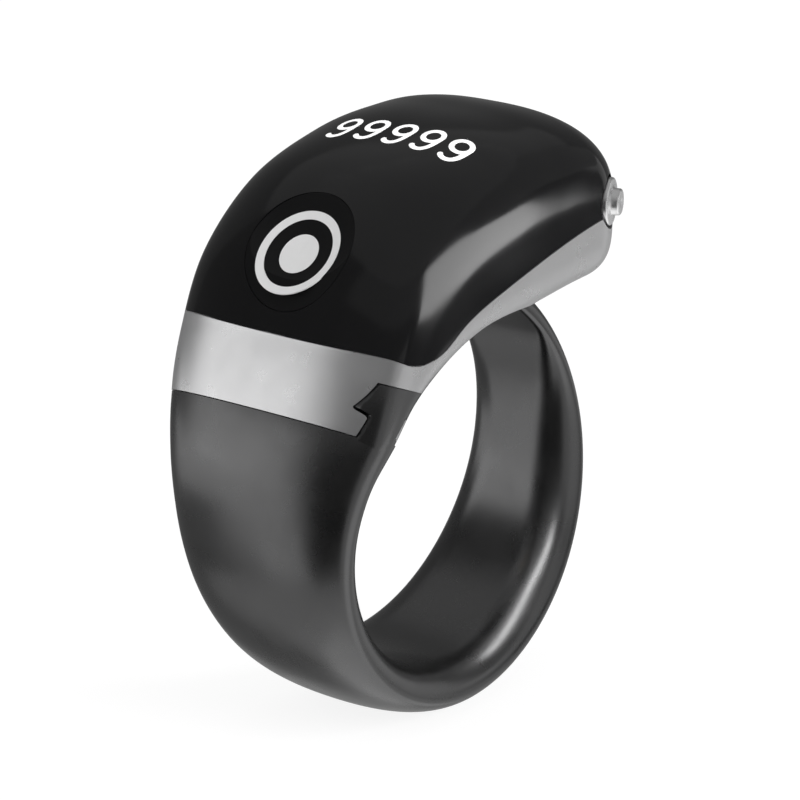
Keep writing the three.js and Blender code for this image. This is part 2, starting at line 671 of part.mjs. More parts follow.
const sideCut = from(sideKeyCut(), sideFrame);
const sealInside = headLoft(SEAL_DEPTH + SEAL_THICKNESS, ...INNER_LOFT);
const sealRing = headLoft(SEAL_DEPTH, ...INNER_LOFT).subtract(sealInside)
  .intersect(sealSlab).subtract(archCut);
const plugPocket = bandLoft(BAND_END_ANGLE - PLUG_SECTOR, BAND_END_ANGLE, SNAP_PLAY, 10).intersect(
  box([-FAR, -FAR, -FAR], [FAR, FAR, FINGER_RADIUS + PLUG_TOP + SNAP_PLAY]),
);
const keyHole = from(countKeyHole(), countFrame);
const ribs = from(keyBoardRibs(), countFrame).intersect(headLoft(WALL / 2, ...INNER_LOFT))
  .intersect(from(box([-FAR, -FAR, keyBoardTop], [FAR, FAR, 0]), countFrame));

const cover = headOuter.subtract(belowSplit).subtract(headLoft(WALL, ...INNER_LOFT))
  .add(ribs.subtract(belowSplit)).subtract(keyHole).subtract(sideCut).subtract(sealRing);

const housing = headOuter.intersect(belowSplit).add(headLoft(WALL + SNAP_PLAY, ...INNER_LOFT))
  .subtract(headInside).add(posts())
  .subtract(fingerHole).subtract(bandSide)
  .subtract(prism(tabOutline(SNAP_PLAY), -FAR, tabReach + SNAP_PLAY))
  .add(tongue(0).intersect(headOuter).subtract(fingerHole))
  .subtract(plugPocket).subtract(sideCut).subtract(screwHoles()).subtract(contactHoles)
  .subtract(sealRing).subtract(keyHole);

// Display and its carrier, in the display's frame: origin at the middle of the panel's top face

const displayTop = crownPoint(90).z - WALL - DISPLAY_DROP;
const displayFrame = new THREE.Matrix4().makeRotationY(-DISPLAY_TILT * DEG)
  .setPosition(DISPLAY_X, 0, displayTop);

function panel() {
  const [x, y, z] = DISPLAY;
  return box([-x / 2, -y / 2, -z], [x / 2, y / 2, 0]);
}

function carrier() {
  const [x, y, z] = DISPLAY;
  const rim = CARRIER_RIM;
  const ledge = CARRIER_LEDGE;
  const outer = box([-x / 2 - rim, -y / 2 - rim, -FAR], [x / 2 + rim, y / 2 + rim, -z * CARRIER_LIP]);
  const [seatX, seatY] = [x / 2 + SEAT_GAP, y / 2 + SEAT_GAP];
  const seat = box([-seatX, -seatY, -z - SEAT_GAP], [seatX, seatY, 1]);
  const hollow = box([-x / 2 + ledge, -y / 2 + ledge, -FAR], [x / 2 - ledge, y / 2 - ledge, 1]);
  const aboveBoard = box([BOARD_X[0], -FAR, boardTop + SEAT_GAP], [FAR, FAR, FAR]);
  const headTop = boardTop + SCREW_HEAD + SCREW_ROOM;
  const screwRoom = screwPlaces.map(([px, py]) => disc(SCREW_HEAD_RADIUS + SCREW_ROOM, 0, headTop, 20)
    .translate(px, py, 0)).reduce((sum, body) => sum.add(body));
  const gate = CABLE_HALF_WIDTH + CABLE_ROOM;
  return from(outer.subtract(seat).subtract(hollow), displayFrame)
    .intersect(aboveBoard).intersect(headFit).subtract(screwRoom)
    .subtract(box([0, -gate, 0], [FAR, gate, boardTop + CABLE_GATE]));
}

function displayPoint(x, z) {
  const point = new THREE.Vector3(x, 0, z).applyMatrix4(displayFrame);
  return [point.x, point.z];
}

function displayCable() {
  const half = DISPLAY[0] / 2;
  const onBoard = boardTop + SEAT_GAP + FLEX_THICKNESS / 2;
  return flexStrip([
    ...DISPLAY_BEND.map(([past, down]) => displayPoint(half + past, -DISPLAY[2] * down)),
    [BOARD_X[1] - DISPLAY_SWING, (displayTop + boardTop) / 2],
    ...DISPLAY_LANDING.map(([back, up]) => [BOARD_X[1] - back, onBoard + up]),
  ], CABLE_HALF_WIDTH);
}

function keyCable() {
  const at = (x, z) => {
    const point = new THREE.Vector3(x, 0, z).applyMatrix4(countFrame);
    return [point.x, point.z];
  };
  const below = FLEX_THICKNESS / 2 + SEAT_GAP;
  const end = KEY_BOARD[0] / 2;
  return flexStrip([
    ...KEY_BEND.map(([back, down]) => at(end - back, keyBoardLow - below - down)),
    ...KEY_LANDING.map(([past, down]) => [BOARD_X[0] + past, boardLow - below - down]),
  ], KEY_CABLE_HALF_WIDTH);
}

function battery() {
  const shape = new THREE.Shape();
  const [x0, x1] = BATTERY_X;
  const [z0, z1] = BATTERY_Z.map((z) => z + FINGER_RADIUS);
  const r = BATTERY_CORNER;
  shape.moveTo(x0 + r, z0);
  shape.absarc(x1 - r, z0 + r, r, -Math.PI / 2, 0, false);
  shape.absarc(x1 - r, z1 - r, r, 0, Math.PI / 2, false);
  shape.absarc(x0 + r, z1 - r, r, Math.PI / 2, Math.PI, false);
  shape.absarc(x0 + r, z0 + r, r, Math.PI, Math.PI * 1.5, false);
  const depth = BATTERY_Y[1] - BATTERY_Y[0];
  const geometry = new THREE.ExtrudeGeometry(shape, { depth, bevelEnabled: false, curveSegments: 5 });
  return solid(geometry.rotateX(Math.PI / 2).translate(0, BATTERY_Y[1], 0)).intersect(headFit);
}

function batteryTab(y) {
  const [overlap, width, thickness] = BATTERY_TAB;
  const low = boardTop + SEAT_GAP;
  return box(
    [BOARD_X[1] - overlap, y - width / 2, low], [BATTERY_X[0] - SEAT_GAP, y + width / 2, low + thickness],
  );
}

function motor() {
  const low = archTop + MOTOR_PAD;
  const high = low + MOTOR_THICKNESS;
  return turned([
    [0, low],
    [MOTOR_RADIUS - MOTOR_EDGE, low],
    [MOTOR_RADIUS, low + MOTOR_EDGE],
    [MOTOR_RADIUS, high - MOTOR_EDGE],
    [MOTOR_RADIUS - MOTOR_EDGE, high],
    [0, high],
  ], 28).translate(MOTOR_X, 0, 0);
}

// Scene graph

const FINISH = {
  glossBlack: { color: 0x101012, roughness: 0.15, metalness: 0.0 },
  silver: { color: 0xb9bbbe, roughness: 0.35, metalness: 0.8 },
  graphite: { color: 0x4c4d50, roughness: 0.38, metalness: 0.6 },
  steel: { color: 0xc9cbce, roughness: 0.2, metalness: 1.0 },
  rubber: { color: 0x1c1c1e, roughness: 0.8, metalness: 0.0 },
  glass: { color: 0x0b0d14, roughness: 0.08, metalness: 0.1 },
  plastic: { color: 0x2a2a2c, roughness: 0.5, metalness: 0.0 },
  board: { color: 0x1d5c3a, roughness: 0.5, metalness: 0.1 },
  flex: { color: 0xb06a22, roughness: 0.5, metalness: 0.1 },
  pouch: { color: 0xa9adb2, roughness: 0.4, metalness: 0.6 },
  gold: { color: 0xd2a54a, roughness: 0.25, metalness: 1.0 },
};

function piece(name, body, finish) {
  const mesh = new THREE.Mesh(geometryOf(body), new THREE.MeshStandardMaterial(FINISH[finish]));
  mesh.name = name;
  return mesh;
}

function placed(frame, ...children) {
  const group = new THREE.Group();
  frame.decompose(group.position, group.quaternion, group.scale);
  group.add(...children);
  return group;
}

const counter = new THREE.Group();
counter.name = 'finger_tally_counter';

const shells = new THREE.Group();
shells.add(
  piece('band', band, 'graphite'),
  piece('housing', housing, 'silver'),
  piece('top_cover', cover, 'glossBlack'),
  piece('cover_seal', sealRing.subtract(sideCut), 'rubber'),
);

const electronics = new THREE.Group();
electronics.add(
  piece('display_carrier', carrier(), 'plastic'),
  piece('display_cable', displayCable(), 'flex'),
  piece('main_board', boardBody(), 'board'),
  ...screwPlaces.map((place, i) => piece(`board_screw_${i + 1}`, screw(place), 'steel')),
  piece('controller_chip', chip(CONTROLLER, CONTROLLER_PLACE), 'plastic'),
  piece('charger_chip', chip(CHARGER, CHARGER_PLACE), 'plastic'),
  piece('clock_crystal', chip(CRYSTAL, CRYSTAL_PLACE), 'steel'),
  piece('battery', battery(), 'pouch'),
  ...BATTERY_TAB_Y.map((y, i) => piece(`battery_tab_${i + 1}`, batteryTab(y), 'steel')),
  piece('vibration_motor', motor(), 'steel'),
  piece('key_board', keyBoard, 'board'),
  piece('key_cable', keyCable(), 'flex'),
  ...[-1, 1].map((side, i) => piece(`charge_contact_${i + 1}`, contact(side, 0), 'gold')),
  placed(displayFrame, piece('display_panel', panel(), 'glass')),
);

const countKey = placed(
  countFrame,
  piece('count_key', countKeyCap(), 'glossBlack'),
  piece('count_plunger', disc(PLUNGER_RADIUS, countPlungerLow, lugLow, 28), 'steel'),
  piece('count_switch', countSwitchBody(), 'plastic'),
);

const sideKey = placed(
  sideFrame,
  piece('side_key', sideKeyBody(), 'steel'),
  piece('side_key_clip', disc(CLIP_RADIUS, clipTop - CLIP_THICKNESS, clipTop, 28)
    .subtract(disc(STEM_RADIUS, -FAR, FAR, 40)), 'steel'),
  piece('side_plunger', disc(SIDE_PLUNGER_RADIUS, sidePlungerLow, stemEnd, 20), 'plastic'),
  piece('side_switch', sideSwitchBody(), 'plastic'),
);

counter.add(shells, electronics, countKey, sideKey);

export default counter;
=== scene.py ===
# %% [markdown]
# # A digital tally counter worn as a ring
#
# The object is a small click counter for one finger. A gloss black cover carries the display and a
# dished count key, a silver housing closes it from below, and a dark metal band is clipped into the
# housing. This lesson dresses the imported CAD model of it: the outer shells are built again with many
# more faces, so that long reflections run smoothly over them, and every surface gets its finish.
#
# All shapes are modelled in millimetres, because the booleans keep their precision there. They
# become metres at the end, when a piece is joined to the body that it moves with.

import math

import bmesh
import bpy
import numpy as np
from mathutils import Matrix, Vector
from mathutils.bvhtree import BVHTree
from mathutils.geometry import barycentric_transform


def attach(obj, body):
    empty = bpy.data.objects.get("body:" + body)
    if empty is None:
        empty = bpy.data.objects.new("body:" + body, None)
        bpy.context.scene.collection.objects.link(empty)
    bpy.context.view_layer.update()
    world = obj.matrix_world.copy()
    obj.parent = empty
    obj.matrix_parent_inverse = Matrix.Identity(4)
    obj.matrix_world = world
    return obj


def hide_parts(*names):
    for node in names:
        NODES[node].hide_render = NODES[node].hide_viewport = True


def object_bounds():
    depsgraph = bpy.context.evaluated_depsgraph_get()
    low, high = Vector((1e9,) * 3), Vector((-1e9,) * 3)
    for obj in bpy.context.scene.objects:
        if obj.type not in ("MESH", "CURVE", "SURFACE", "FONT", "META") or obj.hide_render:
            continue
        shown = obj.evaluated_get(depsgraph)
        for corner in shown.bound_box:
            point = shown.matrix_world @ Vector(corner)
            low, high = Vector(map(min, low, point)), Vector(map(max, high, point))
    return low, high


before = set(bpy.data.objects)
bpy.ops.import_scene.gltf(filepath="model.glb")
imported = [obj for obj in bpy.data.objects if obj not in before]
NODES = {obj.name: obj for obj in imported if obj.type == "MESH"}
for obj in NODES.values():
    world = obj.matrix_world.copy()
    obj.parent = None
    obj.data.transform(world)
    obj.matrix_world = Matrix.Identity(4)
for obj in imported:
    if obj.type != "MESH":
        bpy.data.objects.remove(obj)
MM = 0.001
cad_box = [list(corner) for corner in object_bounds()]
print("CAD box in mm:", [[round(v / MM, 2) for v in corner] for corner in cad_box])

# %% [markdown]
# ## The camera
#
# The photograph was taken with a long lens from the thumb's side, a little above the ring. A long
# lens keeps the far rim nearly as large as the near one. The camera stands 180 mm away and looks
# along the direction that was measured from the outline of the ring.

# %% Camera
CAMERA_PLACE = Vector((-130.456, -109.278, 57.384)) * MM
CAMERA_BACK = Vector((-0.73099, -0.61337, 0.29904)).normalized()
LENS = 159.1

right = Vector((0, 0, 1)).cross(CAMERA_BACK).normalized()
up = CAMERA_BACK.cross(right)
camera_data = bpy.data.cameras.new("long_lens")
camera_data.lens = LENS
camera_data.sensor_width = 36.0
camera_data.clip_start = 0.005
camera = bpy.data.objects.new("camera", camera_data)
camera_turn = Matrix((right, up, CAMERA_BACK)).transposed().to_4x4()
camera.matrix_world = Matrix.Translation(CAMERA_PLACE) @ camera_turn
bpy.context.scene.collection.objects.link(camera)
bpy.context.scene.camera = camera
print("camera is", round(CAMERA_PLACE.length / MM), "mm from the middle of the finger")

# %% [markdown]
# ## Small tools for solids
#
# A shell of this kind is easiest to make as the designer did: whole solids that are added to and
# cut from each other. Blender's Manifold solver does that in a fraction of a second for closed
# meshes. The next cells make closed meshes: a loft through rings, a turned profile, a box and a
# prism along the finger.

# %% Closed meshes
def mesh_object(name, points, faces):
    mesh = bpy.data.meshes.new(name)
    mesh.from_pydata([tuple(p) for p in points], [], faces)
    mesh.update()
    made = bpy.data.objects.new(name, mesh)
    bpy.context.scene.collection.objects.link(made)
    return made


def loft(rings):
    """A closed mesh through rings of points, with a fan at each end."""
    rings = np.asarray(rings, float)
    count = rings.shape[1]
    faces = []
    for i in range(len(rings) - 1):
        for j in range(count):
            a, b = i * count + j, i * count + (j + 1) % count
            faces.append((a, b, b + count, a + count))
    points = np.vstack([rings.reshape(-1, 3), rings[0].mean(0), rings[-1].mean(0)])
    first, last = len(points) - 2, len(points) - 1
    top = (len(rings) - 1) * count
    for j in range(count):
        k = (j + 1) % count
        faces.append((first, k, j))
        faces.append((last, top + j, top + k))
    return outward(mesh_object("loft", points, faces))


def outward(made):
    """Turns all faces outwards."""
    shape = bmesh.new()
    shape.from_mesh(made.data)
    bmesh.ops.remove_doubles(shape, verts=shape.verts, dist=1e-5)
    bmesh.ops.recalc_face_normals(shape, faces=shape.faces)
    shape.to_mesh(made.data)
    shape.free()
    return made


def turned(profile, segments=96, place=Matrix.Identity(4)):
    """A profile of radius and height, from axis to axis, turned round Z."""
    inner = [p for p in profile if p[0] > 1e-6]
    turns = [2 * math.pi * i / segments for i in range(segments)]
    points = [(r * math.cos(t), r * math.sin(t), z) for r, z in inner for t in turns]
    faces = []
    for i in range(len(inner) - 1):
        low, high = i * segments, (i + 1) * segments
        for j in range(segments):
            k = (j + 1) % segments
            faces.append((low + j, low + k, high + k, high + j))
    if len(inner) == len(profile):
        for j in range(segments):
            k = (j + 1) % segments
            last = (len(inner) - 1) * segments
            faces.append((last + j, last + k, k, j))
    else:
        for end, row in ((profile[0], 0), (profile[-1], len(inner) - 1)):
            points.append((0, 0, end[1]))
            for j in range(segments):
                faces.append((len(points) - 1, row * segments + j, row * segments + (j + 1) % segments))
    made = outward(mesh_object("turned", points, faces))
    made.data.transform(place)
    return made


def disc(radius, low, high, segments=96, place=Matrix.Identity(4)):
    return turned([(0, low), (radius, low), (radius, high), (0, high)], segments, place)


def box(low, high, place=Matrix.Identity(4)):
    corners = [(x, y, z) for x in (low[0], high[0]) for y in (low[1], high[1]) for z in (low[2], high[2])]
    faces = [(0, 1, 3, 2), (4, 6, 7, 5), (0, 4, 5, 1), (2, 3, 7, 6), (0, 2, 6, 4), (1, 5, 7, 3)]
    made = outward(mesh_object("box", corners, faces))
    made.data.transform(place)
    return made


def prism(outline, low, high):
    """An outline of x, z points carried along the finger from low to high."""
    count = len(outline)
    points = [(x, y, z) for y in (low, high) for x, z in outline]
    faces = [tuple(range(count)), tuple(range(2 * count - 1, count - 1, -1))]
    faces += [(j, (j + 1) % count, (j + 1) % count + count, j + count) for j in range(count)]
    return outward(mesh_object("prism", points, faces))


# %% Booleans
def settled(made):
    """The mesh as its modifiers leave it, with the modifiers gone."""
    bpy.context.view_layer.update()
    view = bpy.context.evaluated_depsgraph_get()
    mesh = bpy.data.meshes.new_from_object(made.evaluated_get(view))
    old = made.data
    made.modifiers.clear()
    if isinstance(old, bpy.types.Mesh):
        made.data = mesh
        bpy.data.meshes.remove(old)
        return made
    plain = bpy.data.objects.new(made.name + "_mesh", mesh)
    bpy.context.scene.collection.objects.link(plain)
    bpy.data.objects.remove(made)
    return plain


def combined(first, second, operation, keep=False):
    step = first.modifiers.new("step", "BOOLEAN")
    step.operation = operation
    step.object = second
    step.solver = "MANIFOLD"
    settled(first)
    if not keep:
        bpy.data.objects.remove(second)
    return first


def cut(first, *others, keep=False):
    for other in others:
        combined(first, other, "DIFFERENCE", keep)
    return first


def joined(first, *others):
    for other in others:
        combined(first, other, "UNION")
    return first


def common(first, second, keep=False):
    return combined(first, second, "INTERSECT", keep)


def copied(made):
    twin = bpy.data.objects.new(made.name, made.data.copy())
    bpy.context.scene.collection.objects.link(twin)
    return twin


# %% [markdown]
# ## The form of the head
#
# The head swells out of the band on the thumb's side, arches over the finger and overhangs it as a
# rounded tail. Its cross-sections are superellipses, rounder above and squarer below. A few
# stations give their height and width, and a smooth curve runs through the stations, so two small
# tables hold the whole form: one by the angle round the finger, one along the overhanging tail.

# %% Stations of the head
FINGER_RADIUS = 10.0
POLAR_STATIONS = [  # angle, rise, underside, half width, power above, power below
    (160, 1.9, -0.4, 6.1, 2.25, 2.6),
    (150.5, 2.55, -1.0, 6.88, 2.25, 2.6),
    (136.4, 3.6, -1.1, 7.25, 2.5, 2.8),
    (121, 5.7, -1.2, 7.4, 2.6, 4.0),
    (105, 7.3, -1.2, 7.5, 2.6, 4.7),
    (90, 8.24, -1.2, 7.57, 2.6, 4.7),
]
TAIL_STATIONS = [  # x, rise, underside, half width, power above, power below
    (3.5, 8.6, -0.65, 7.57, 2.6, 4.7),
    (6.5, 8.42, -0.25, 7.57, 2.6, 4.7),
    (11.65, 7.04, 0.25, 7.57, 2.6, 4.7),
]
TAIL_MIDDLE = FINGER_RADIUS + 3.0
PLAN_POWER = 1.7
SIDE_POWER = 2.2
TIP_STOP = 0.002  # share of a station, so that the last ring isn't a point


def polar(radius, angle):
    return radius * math.cos(math.radians(angle)), radius * math.sin(math.radians(angle))


def smooth(keys, rows, t):
    """Values at t on smooth cubic pieces through the rows."""
    i = min(max(int(np.searchsorted(keys, t, side="right")), 1), len(keys) - 1)
    t0, t1 = keys[i - 1], keys[i]
    half = (t1 - t0) / 2
    before = i - 2 if i >= 2 else i
    after = i + 1 if i + 1 < len(keys) else i - 1
    t_before = keys[i - 2] if i >= 2 else t1
    t_after = keys[i + 1] if i + 1 < len(keys) else t0
    w0, w1 = half / (t0 - t_before), half / (t_after - t1)
    p = (t - t0) / (t1 - t0)
    s_before = -w0 * p**3 + 2 * w0 * p**2 - w0 * p
    s0 = (1 + w0) * p**3 + (-1.5 - 2 * w0) * p**2 + (-0.5 + w0) * p + 1
    s1 = (-1 - w1) * p**3 + (1.5 + w1) * p**2 + 0.5 * p
    s_after = w1 * p**3 - w1 * p**2
    return s_before * rows[before] + s0 * rows[i - 1] + s1 * rows[i] + s_after * rows[after]


head_rows = np.array(
    [polar(FINGER_RADIUS + rise, a) + polar(FINGER_RADIUS + under, a) + tuple(rest)
     for a, rise, under, *rest in POLAR_STATIONS]
    + [(x, FINGER_RADIUS + rise, x, FINGER_RADIUS + under, *rest) for x, rise, under, *rest in TAIL_STATIONS]
)
head_keys = np.arange(len(head_rows), dtype=float)
NOSE_START, NOSE_END = len(head_rows) - 2, len(head_rows) - 1


# %% Rings of the head
def signed_power(values, power):
    return np.sign(values) * np.abs(values) ** power


def head_ring(u, inset, count):
    """One closed cross-section, drawn in by inset."""
    cx, cz, ux, uz, half, power, under_power = smooth(head_keys, head_rows, u)
    crown, under = np.array([cx, cz]), np.array([ux, uz])
    if u > NOSE_START:
        start, tip = head_rows[NOSE_START][0], head_rows[NOSE_END][0]
        t = min((cx - start) / (tip - start), 1)
        side = (1 - t**SIDE_POWER) ** (1 / SIDE_POWER)
        plan = (1 - t**PLAN_POWER) ** (1 / PLAN_POWER)
        reach = t * (tip - inset - start) + start
        crown = np.array([reach, TAIL_MIDDLE + (cz - inset - TAIL_MIDDLE) * side])
        under = np.array([reach, TAIL_MIDDLE + (uz + inset - TAIL_MIDDLE) * side])
        half = (half - inset) * plan
    else:
        across = (crown - under) / np.linalg.norm(crown - under) * inset
        crown, under, half = crown - across, under + across, half - inset
    turn = 2 * np.pi * np.arange(count) / count
    powers = np.where(np.sin(turn) >= -1e-12, power, under_power)
    rise = signed_power(np.sin(turn), 2 / powers)
    sideways = signed_power(np.cos(turn), 2 / powers)
    middle, arm = (crown + under) / 2, (crown - under) / 2
    return np.stack([middle[0] + arm[0] * rise, half * sideways, middle[1] + arm[1] * rise], axis=1)


def head(inset=0.0, rings=60, nose_rings=16, count=96):
    stations = list(np.linspace(0, NOSE_START, rings + 1))
    stations += [NOSE_START + math.sin(i / nose_rings * math.pi / 2) for i in range(1, nose_rings)]
    stations.append(NOSE_END - TIP_STOP)
    return loft([head_ring(u, inset, count) for u in stations])


outer = head(0.0, rings=150, nose_rings=48, count=256)
print("head:", len(outer.data.polygons), "faces")

# %% [markdown]
# ## Where the keys sit
#
# Each key has its own frame: its origin on the outer surface and its Z axis along the push. The
# count key faces the thumb. The side key sits on the near corner of the tail.

# %% Key frames
COUNT_KEY_ANGLE = 120.1
COUNT_KEY_TILT = 137
COUNT_KEY_RADIUS = 3.1
COUNT_KEY_SKIRT = 1.35
COUNT_KEY_DISH = 0.3
COUNT_KEY_LEVEL = 0.12
COUNT_KEY_TRAVEL = 0.35
SIDE_KEY_PLACE = (7.6, -7.15, 14.065)
SIDE_KEY_TURN = -66


def place_at(origin, axis, side):
    axis, side = Vector(axis).normalized(), Vector(side)
    across = side.cross(axis).normalized()
    turn = Matrix((across, side, axis)).transposed().to_4x4()
    return Matrix.Translation(Vector(origin)) @ turn


def crown_point(angle):
    for i in range(401):
        x, z = smooth(head_keys, head_rows, i / 400 * NOSE_START)[:2]
        if math.degrees(math.atan2(z, x)) <= angle:
            return x, 0.0, z


cx, cz = polar(1, COUNT_KEY_TILT)
count_place = place_at(crown_point(COUNT_KEY_ANGLE), (cx, 0, cz), (0, 1, 0))
sx, sy = polar(1, SIDE_KEY_TURN)
side_place = place_at(SIDE_KEY_PLACE, (sx, sy, 0), (0, 0, 1))
print("count key at", [round(v, 2) for v in count_place.translation], "mm")

# %% [markdown]
# ## Cover and housing
#
# One line, seen from the side, parts the head into the gloss cover above and the silver housing
# below. The two shells share a rubber seal. A hair-fine groove runs along the line where they meet,
# as on every moulded pair of shells, and reads as a thin dark line.

# %% The parting line
SPLIT_LINE = [  # x, height over the finger hole
    (-16, 0.1), (-9.9, -0.25), (-8.0, -0.9), (-6.9, -1.0), (-5.6, -0.7), (-3.9, 0.4),
    (-1.7, 1.27), (1.5, 2.27), (4.7, 3.1), (7.2, 3.55), (9.6, 3.8), (16, 4.1),
]
SPLIT_STEPS = 14
FAR = 40.0
WALL = 1.1
ARCH_WALL = 1.0
CAVITY_ANGLE = 131.5
SNAP_PLAY = 0.05
GROOVE_WIDTH = 0.045
GROOVE_DEPTH = 0.08


def through(points, steps):
    """A smooth line through points."""
    points = np.array(points, float)
    line = []
    for i in range(len(points) - 1):
        p0, p1 = points[max(i - 1, 0)], points[i]
        p2, p3 = points[i + 1], points[min(i + 2, len(points) - 1)]
        v0, v1 = (p2 - p0) / 2, (p3 - p1) / 2
        cubic = 2 * p1 - 2 * p2 + v0 + v1
        square = -3 * p1 + 3 * p2 - 2 * v0 - v1
        for k in range(steps):
            t = k / steps
            line.append(cubic * t**3 + square * t**2 + v0 * t + p1)
    line.append(points[-1])
    return np.array(line)


split = [(x, FINGER_RADIUS + z) for x, z in through(SPLIT_LINE, SPLIT_STEPS)]


def slab(height):
    """A thin layer that follows the parting line."""
    top = [(x, z + height / 2) for x, z in split]
    return prism(top + [(x, z - height / 2) for x, z in reversed(split)], -FAR, FAR)


def wedge(start, end, steps=8):
    outline = [(0, 0)] + [polar(FAR, start + (end - start) * i / steps) for i in range(steps + 1)]
    return prism(outline, -FAR, FAR)


def round_finger(radius, segments=256):
    turn = Matrix.Rotation(math.pi / 2, 4, "X")
    return disc(radius, -FAR / 2, FAR / 2, segments, turn)


below_split = prism(split + [(FAR, -FAR), (-FAR, -FAR)], -FAR, FAR)
groove = cut(slab(GROOVE_WIDTH), head(GROOVE_DEPTH, 100, 30, 160))

# %% Seal, taken from the CAD
def solid_of(node):
    """The CAD node as one closed mesh in millimetres."""
    twin = copied(NODES[node])
    twin.data.transform(Matrix.Scale(1 / MM, 4))
    return outward(twin)


seal_room = solid_of("cover_seal")

# %% [markdown]
# ## Cutters of the keys
#
# The count key slides in a round hole with two side slots for its lugs, which stop it from falling
# out. The side key has a shallow round seat and a bore for its stem.

# %% Holes for the keys
KEY_PLAY = 0.1
RIM_PLAY = 0.03
STOP_PLAY = 0.05
LUG_REACH = 0.65
LUG_HALF_WIDTH = 1.7
LUG_THICKNESS = 0.5
LUG_TOP = -COUNT_KEY_SKIRT
LUG_LOW = LUG_TOP - LUG_THICKNESS
LUG_RADIUS = COUNT_KEY_RADIUS + LUG_REACH
LUG_FLOOR = LUG_LOW - COUNT_KEY_TRAVEL - STOP_PLAY
SWITCH_HEIGHT = 0.85
KEY_BOARD_TOP = LUG_FLOOR - SWITCH_HEIGHT
HOLE_BELOW_LUGS = 0.6
CUTTER_TOP = 3.0  # well clear of the skin
SIDE_KEY_RADIUS = 1.22
SIDE_SEAT_PLAY = 0.16
SIDE_BORE = (-2.2, 1.0)
SIDE_KEY_LOW = -0.3
SIDE_KEY_TOP = 0.12
STEM_RADIUS = 0.45
STEM_END = -2.0
SIDE_KEY_TRAVEL = 0.3


def count_key_room():
    hole = disc(COUNT_KEY_RADIUS + RIM_PLAY, LUG_LOW - HOLE_BELOW_LUGS, CUTTER_TOP, 192, count_place)
    lugs = disc(LUG_RADIUS + KEY_PLAY, LUG_FLOOR, LUG_TOP + STOP_PLAY, 96, count_place)
    half = LUG_HALF_WIDTH + KEY_PLAY
    slots = box((-half, -FAR, -FAR / 4), (half, FAR, LUG_TOP + STOP_PLAY), count_place)
    return joined(hole, common(lugs, slots))


def side_key_room():
    floor = SIDE_KEY_LOW - SIDE_KEY_TRAVEL - STOP_PLAY
    seat = disc(SIDE_KEY_RADIUS + SIDE_SEAT_PLAY, floor, CUTTER_TOP, 128, side_place)
    return joined(seat, disc(STEM_RADIUS + KEY_PLAY / 2, *SIDE_BORE, 64, side_place))


key_room = count_key_room()
side_room = side_key_room()

# %% Cover
RIB_HALF_LENGTH = 2.2
RIB_THICKNESS = 0.7
RIB_TOP = -0.4


def key_board_ribs():
    """Two ribs of the cover that carry the key's little board."""
    half, near = RIB_HALF_LENGTH, LUG_RADIUS + 2 * KEY_PLAY
    ribs = joined(
        box((-half, near, KEY_BOARD_TOP), (half, near + RIB_THICKNESS, RIB_TOP), count_place),
        box((-half, -near - RIB_THICKNESS, KEY_BOARD_TOP), (half, -near, RIB_TOP), count_place),
    )
    return cut(common(ribs, head(WALL / 2)), below_split, keep=True)


cover = cut(copied(outer), below_split, keep=True)
cut(cover, head(WALL))
joined(cover, key_board_ribs())
cut(cover, key_room, side_room, seal_room, groove, keep=True)
print("cover:", len(cover.data.polygons), "faces")

# %% [markdown]
# ## The band's tab
#
# Where band and housing meet, the band ends in a barbed tab that snaps into a slot of the housing
# and is seen on the near edge as a dark hook in the silver. A small silver tongue of the housing
# keys into the tab from the finger side.

# %% Tab and tongue
SEAM_ANGLE = 150.5
SEAM_GAP = 0.04
TAB_POINTS = [(1.75, 150.5), (1.95, 145.0), (2.33, 144.2), (2.48, 138.1)]  # height over the hole, angle
TAB_TOP_ANGLE = 132.4
TAB_GAP = 0.08
TAB_TOP_GAP = 0.03
BARB_ROUND = 0.13
TAB_REACH = POLAR_STATIONS[1][3] - 2.6
TONGUE_ANGLES = (141.8, 147.4)
TONGUE_THICKNESS = 0.5
PLUG_TOP = FINGER_RADIUS + 0.15
INSIDE_HOLE = FINGER_RADIUS - 2.0  # where the cutters end, clear of the metal
ROOT_LAP = 3.0  # degrees that the tab reaches into the band
BAND_END_ANGLE = 428


def rounded_corner(before, corner, after, size, steps=5):
    """Points of a soft corner between two straight edges."""
    before, corner, after = (np.array(p, float) for p in (before, corner, after))
    start = corner + (before - corner) / np.linalg.norm(before - corner) * size
    end = corner + (after - corner) / np.linalg.norm(after - corner) * size
    turns = np.linspace(0, 1, steps)
    return [tuple(start * (1 - t) ** 2 + corner * 2 * t * (1 - t) + end * t**2) for t in turns]


def tab_prism(grow, top_grow):
    root, throat, barb, shoulder = TAB_POINTS
    widen = math.degrees(grow / FINGER_RADIUS)

    def narrow(angle, height):
        return angle - math.degrees(top_grow / (FINGER_RADIUS + height))

    outline = [
        polar(INSIDE_HOLE, SEAM_ANGLE + ROOT_LAP),
        polar(FINGER_RADIUS + root[0] + grow, SEAM_ANGLE + ROOT_LAP),
        polar(FINGER_RADIUS + throat[0] + grow, throat[1] + widen),
        polar(FINGER_RADIUS + barb[0] + grow, barb[1] + widen),
        polar(FINGER_RADIUS + shoulder[0] + grow, narrow(shoulder[1], shoulder[0])),
        polar(FINGER_RADIUS - grow, narrow(TAB_TOP_ANGLE, 0)),
        polar(INSIDE_HOLE, narrow(TAB_TOP_ANGLE, 0)),
    ]
    soft = outline[:2]
    soft += rounded_corner(*outline[1:4], BARB_ROUND)
    soft += rounded_corner(*outline[2:5], BARB_ROUND)
    return prism(soft + outline[4:], -FAR, TAB_REACH + grow)


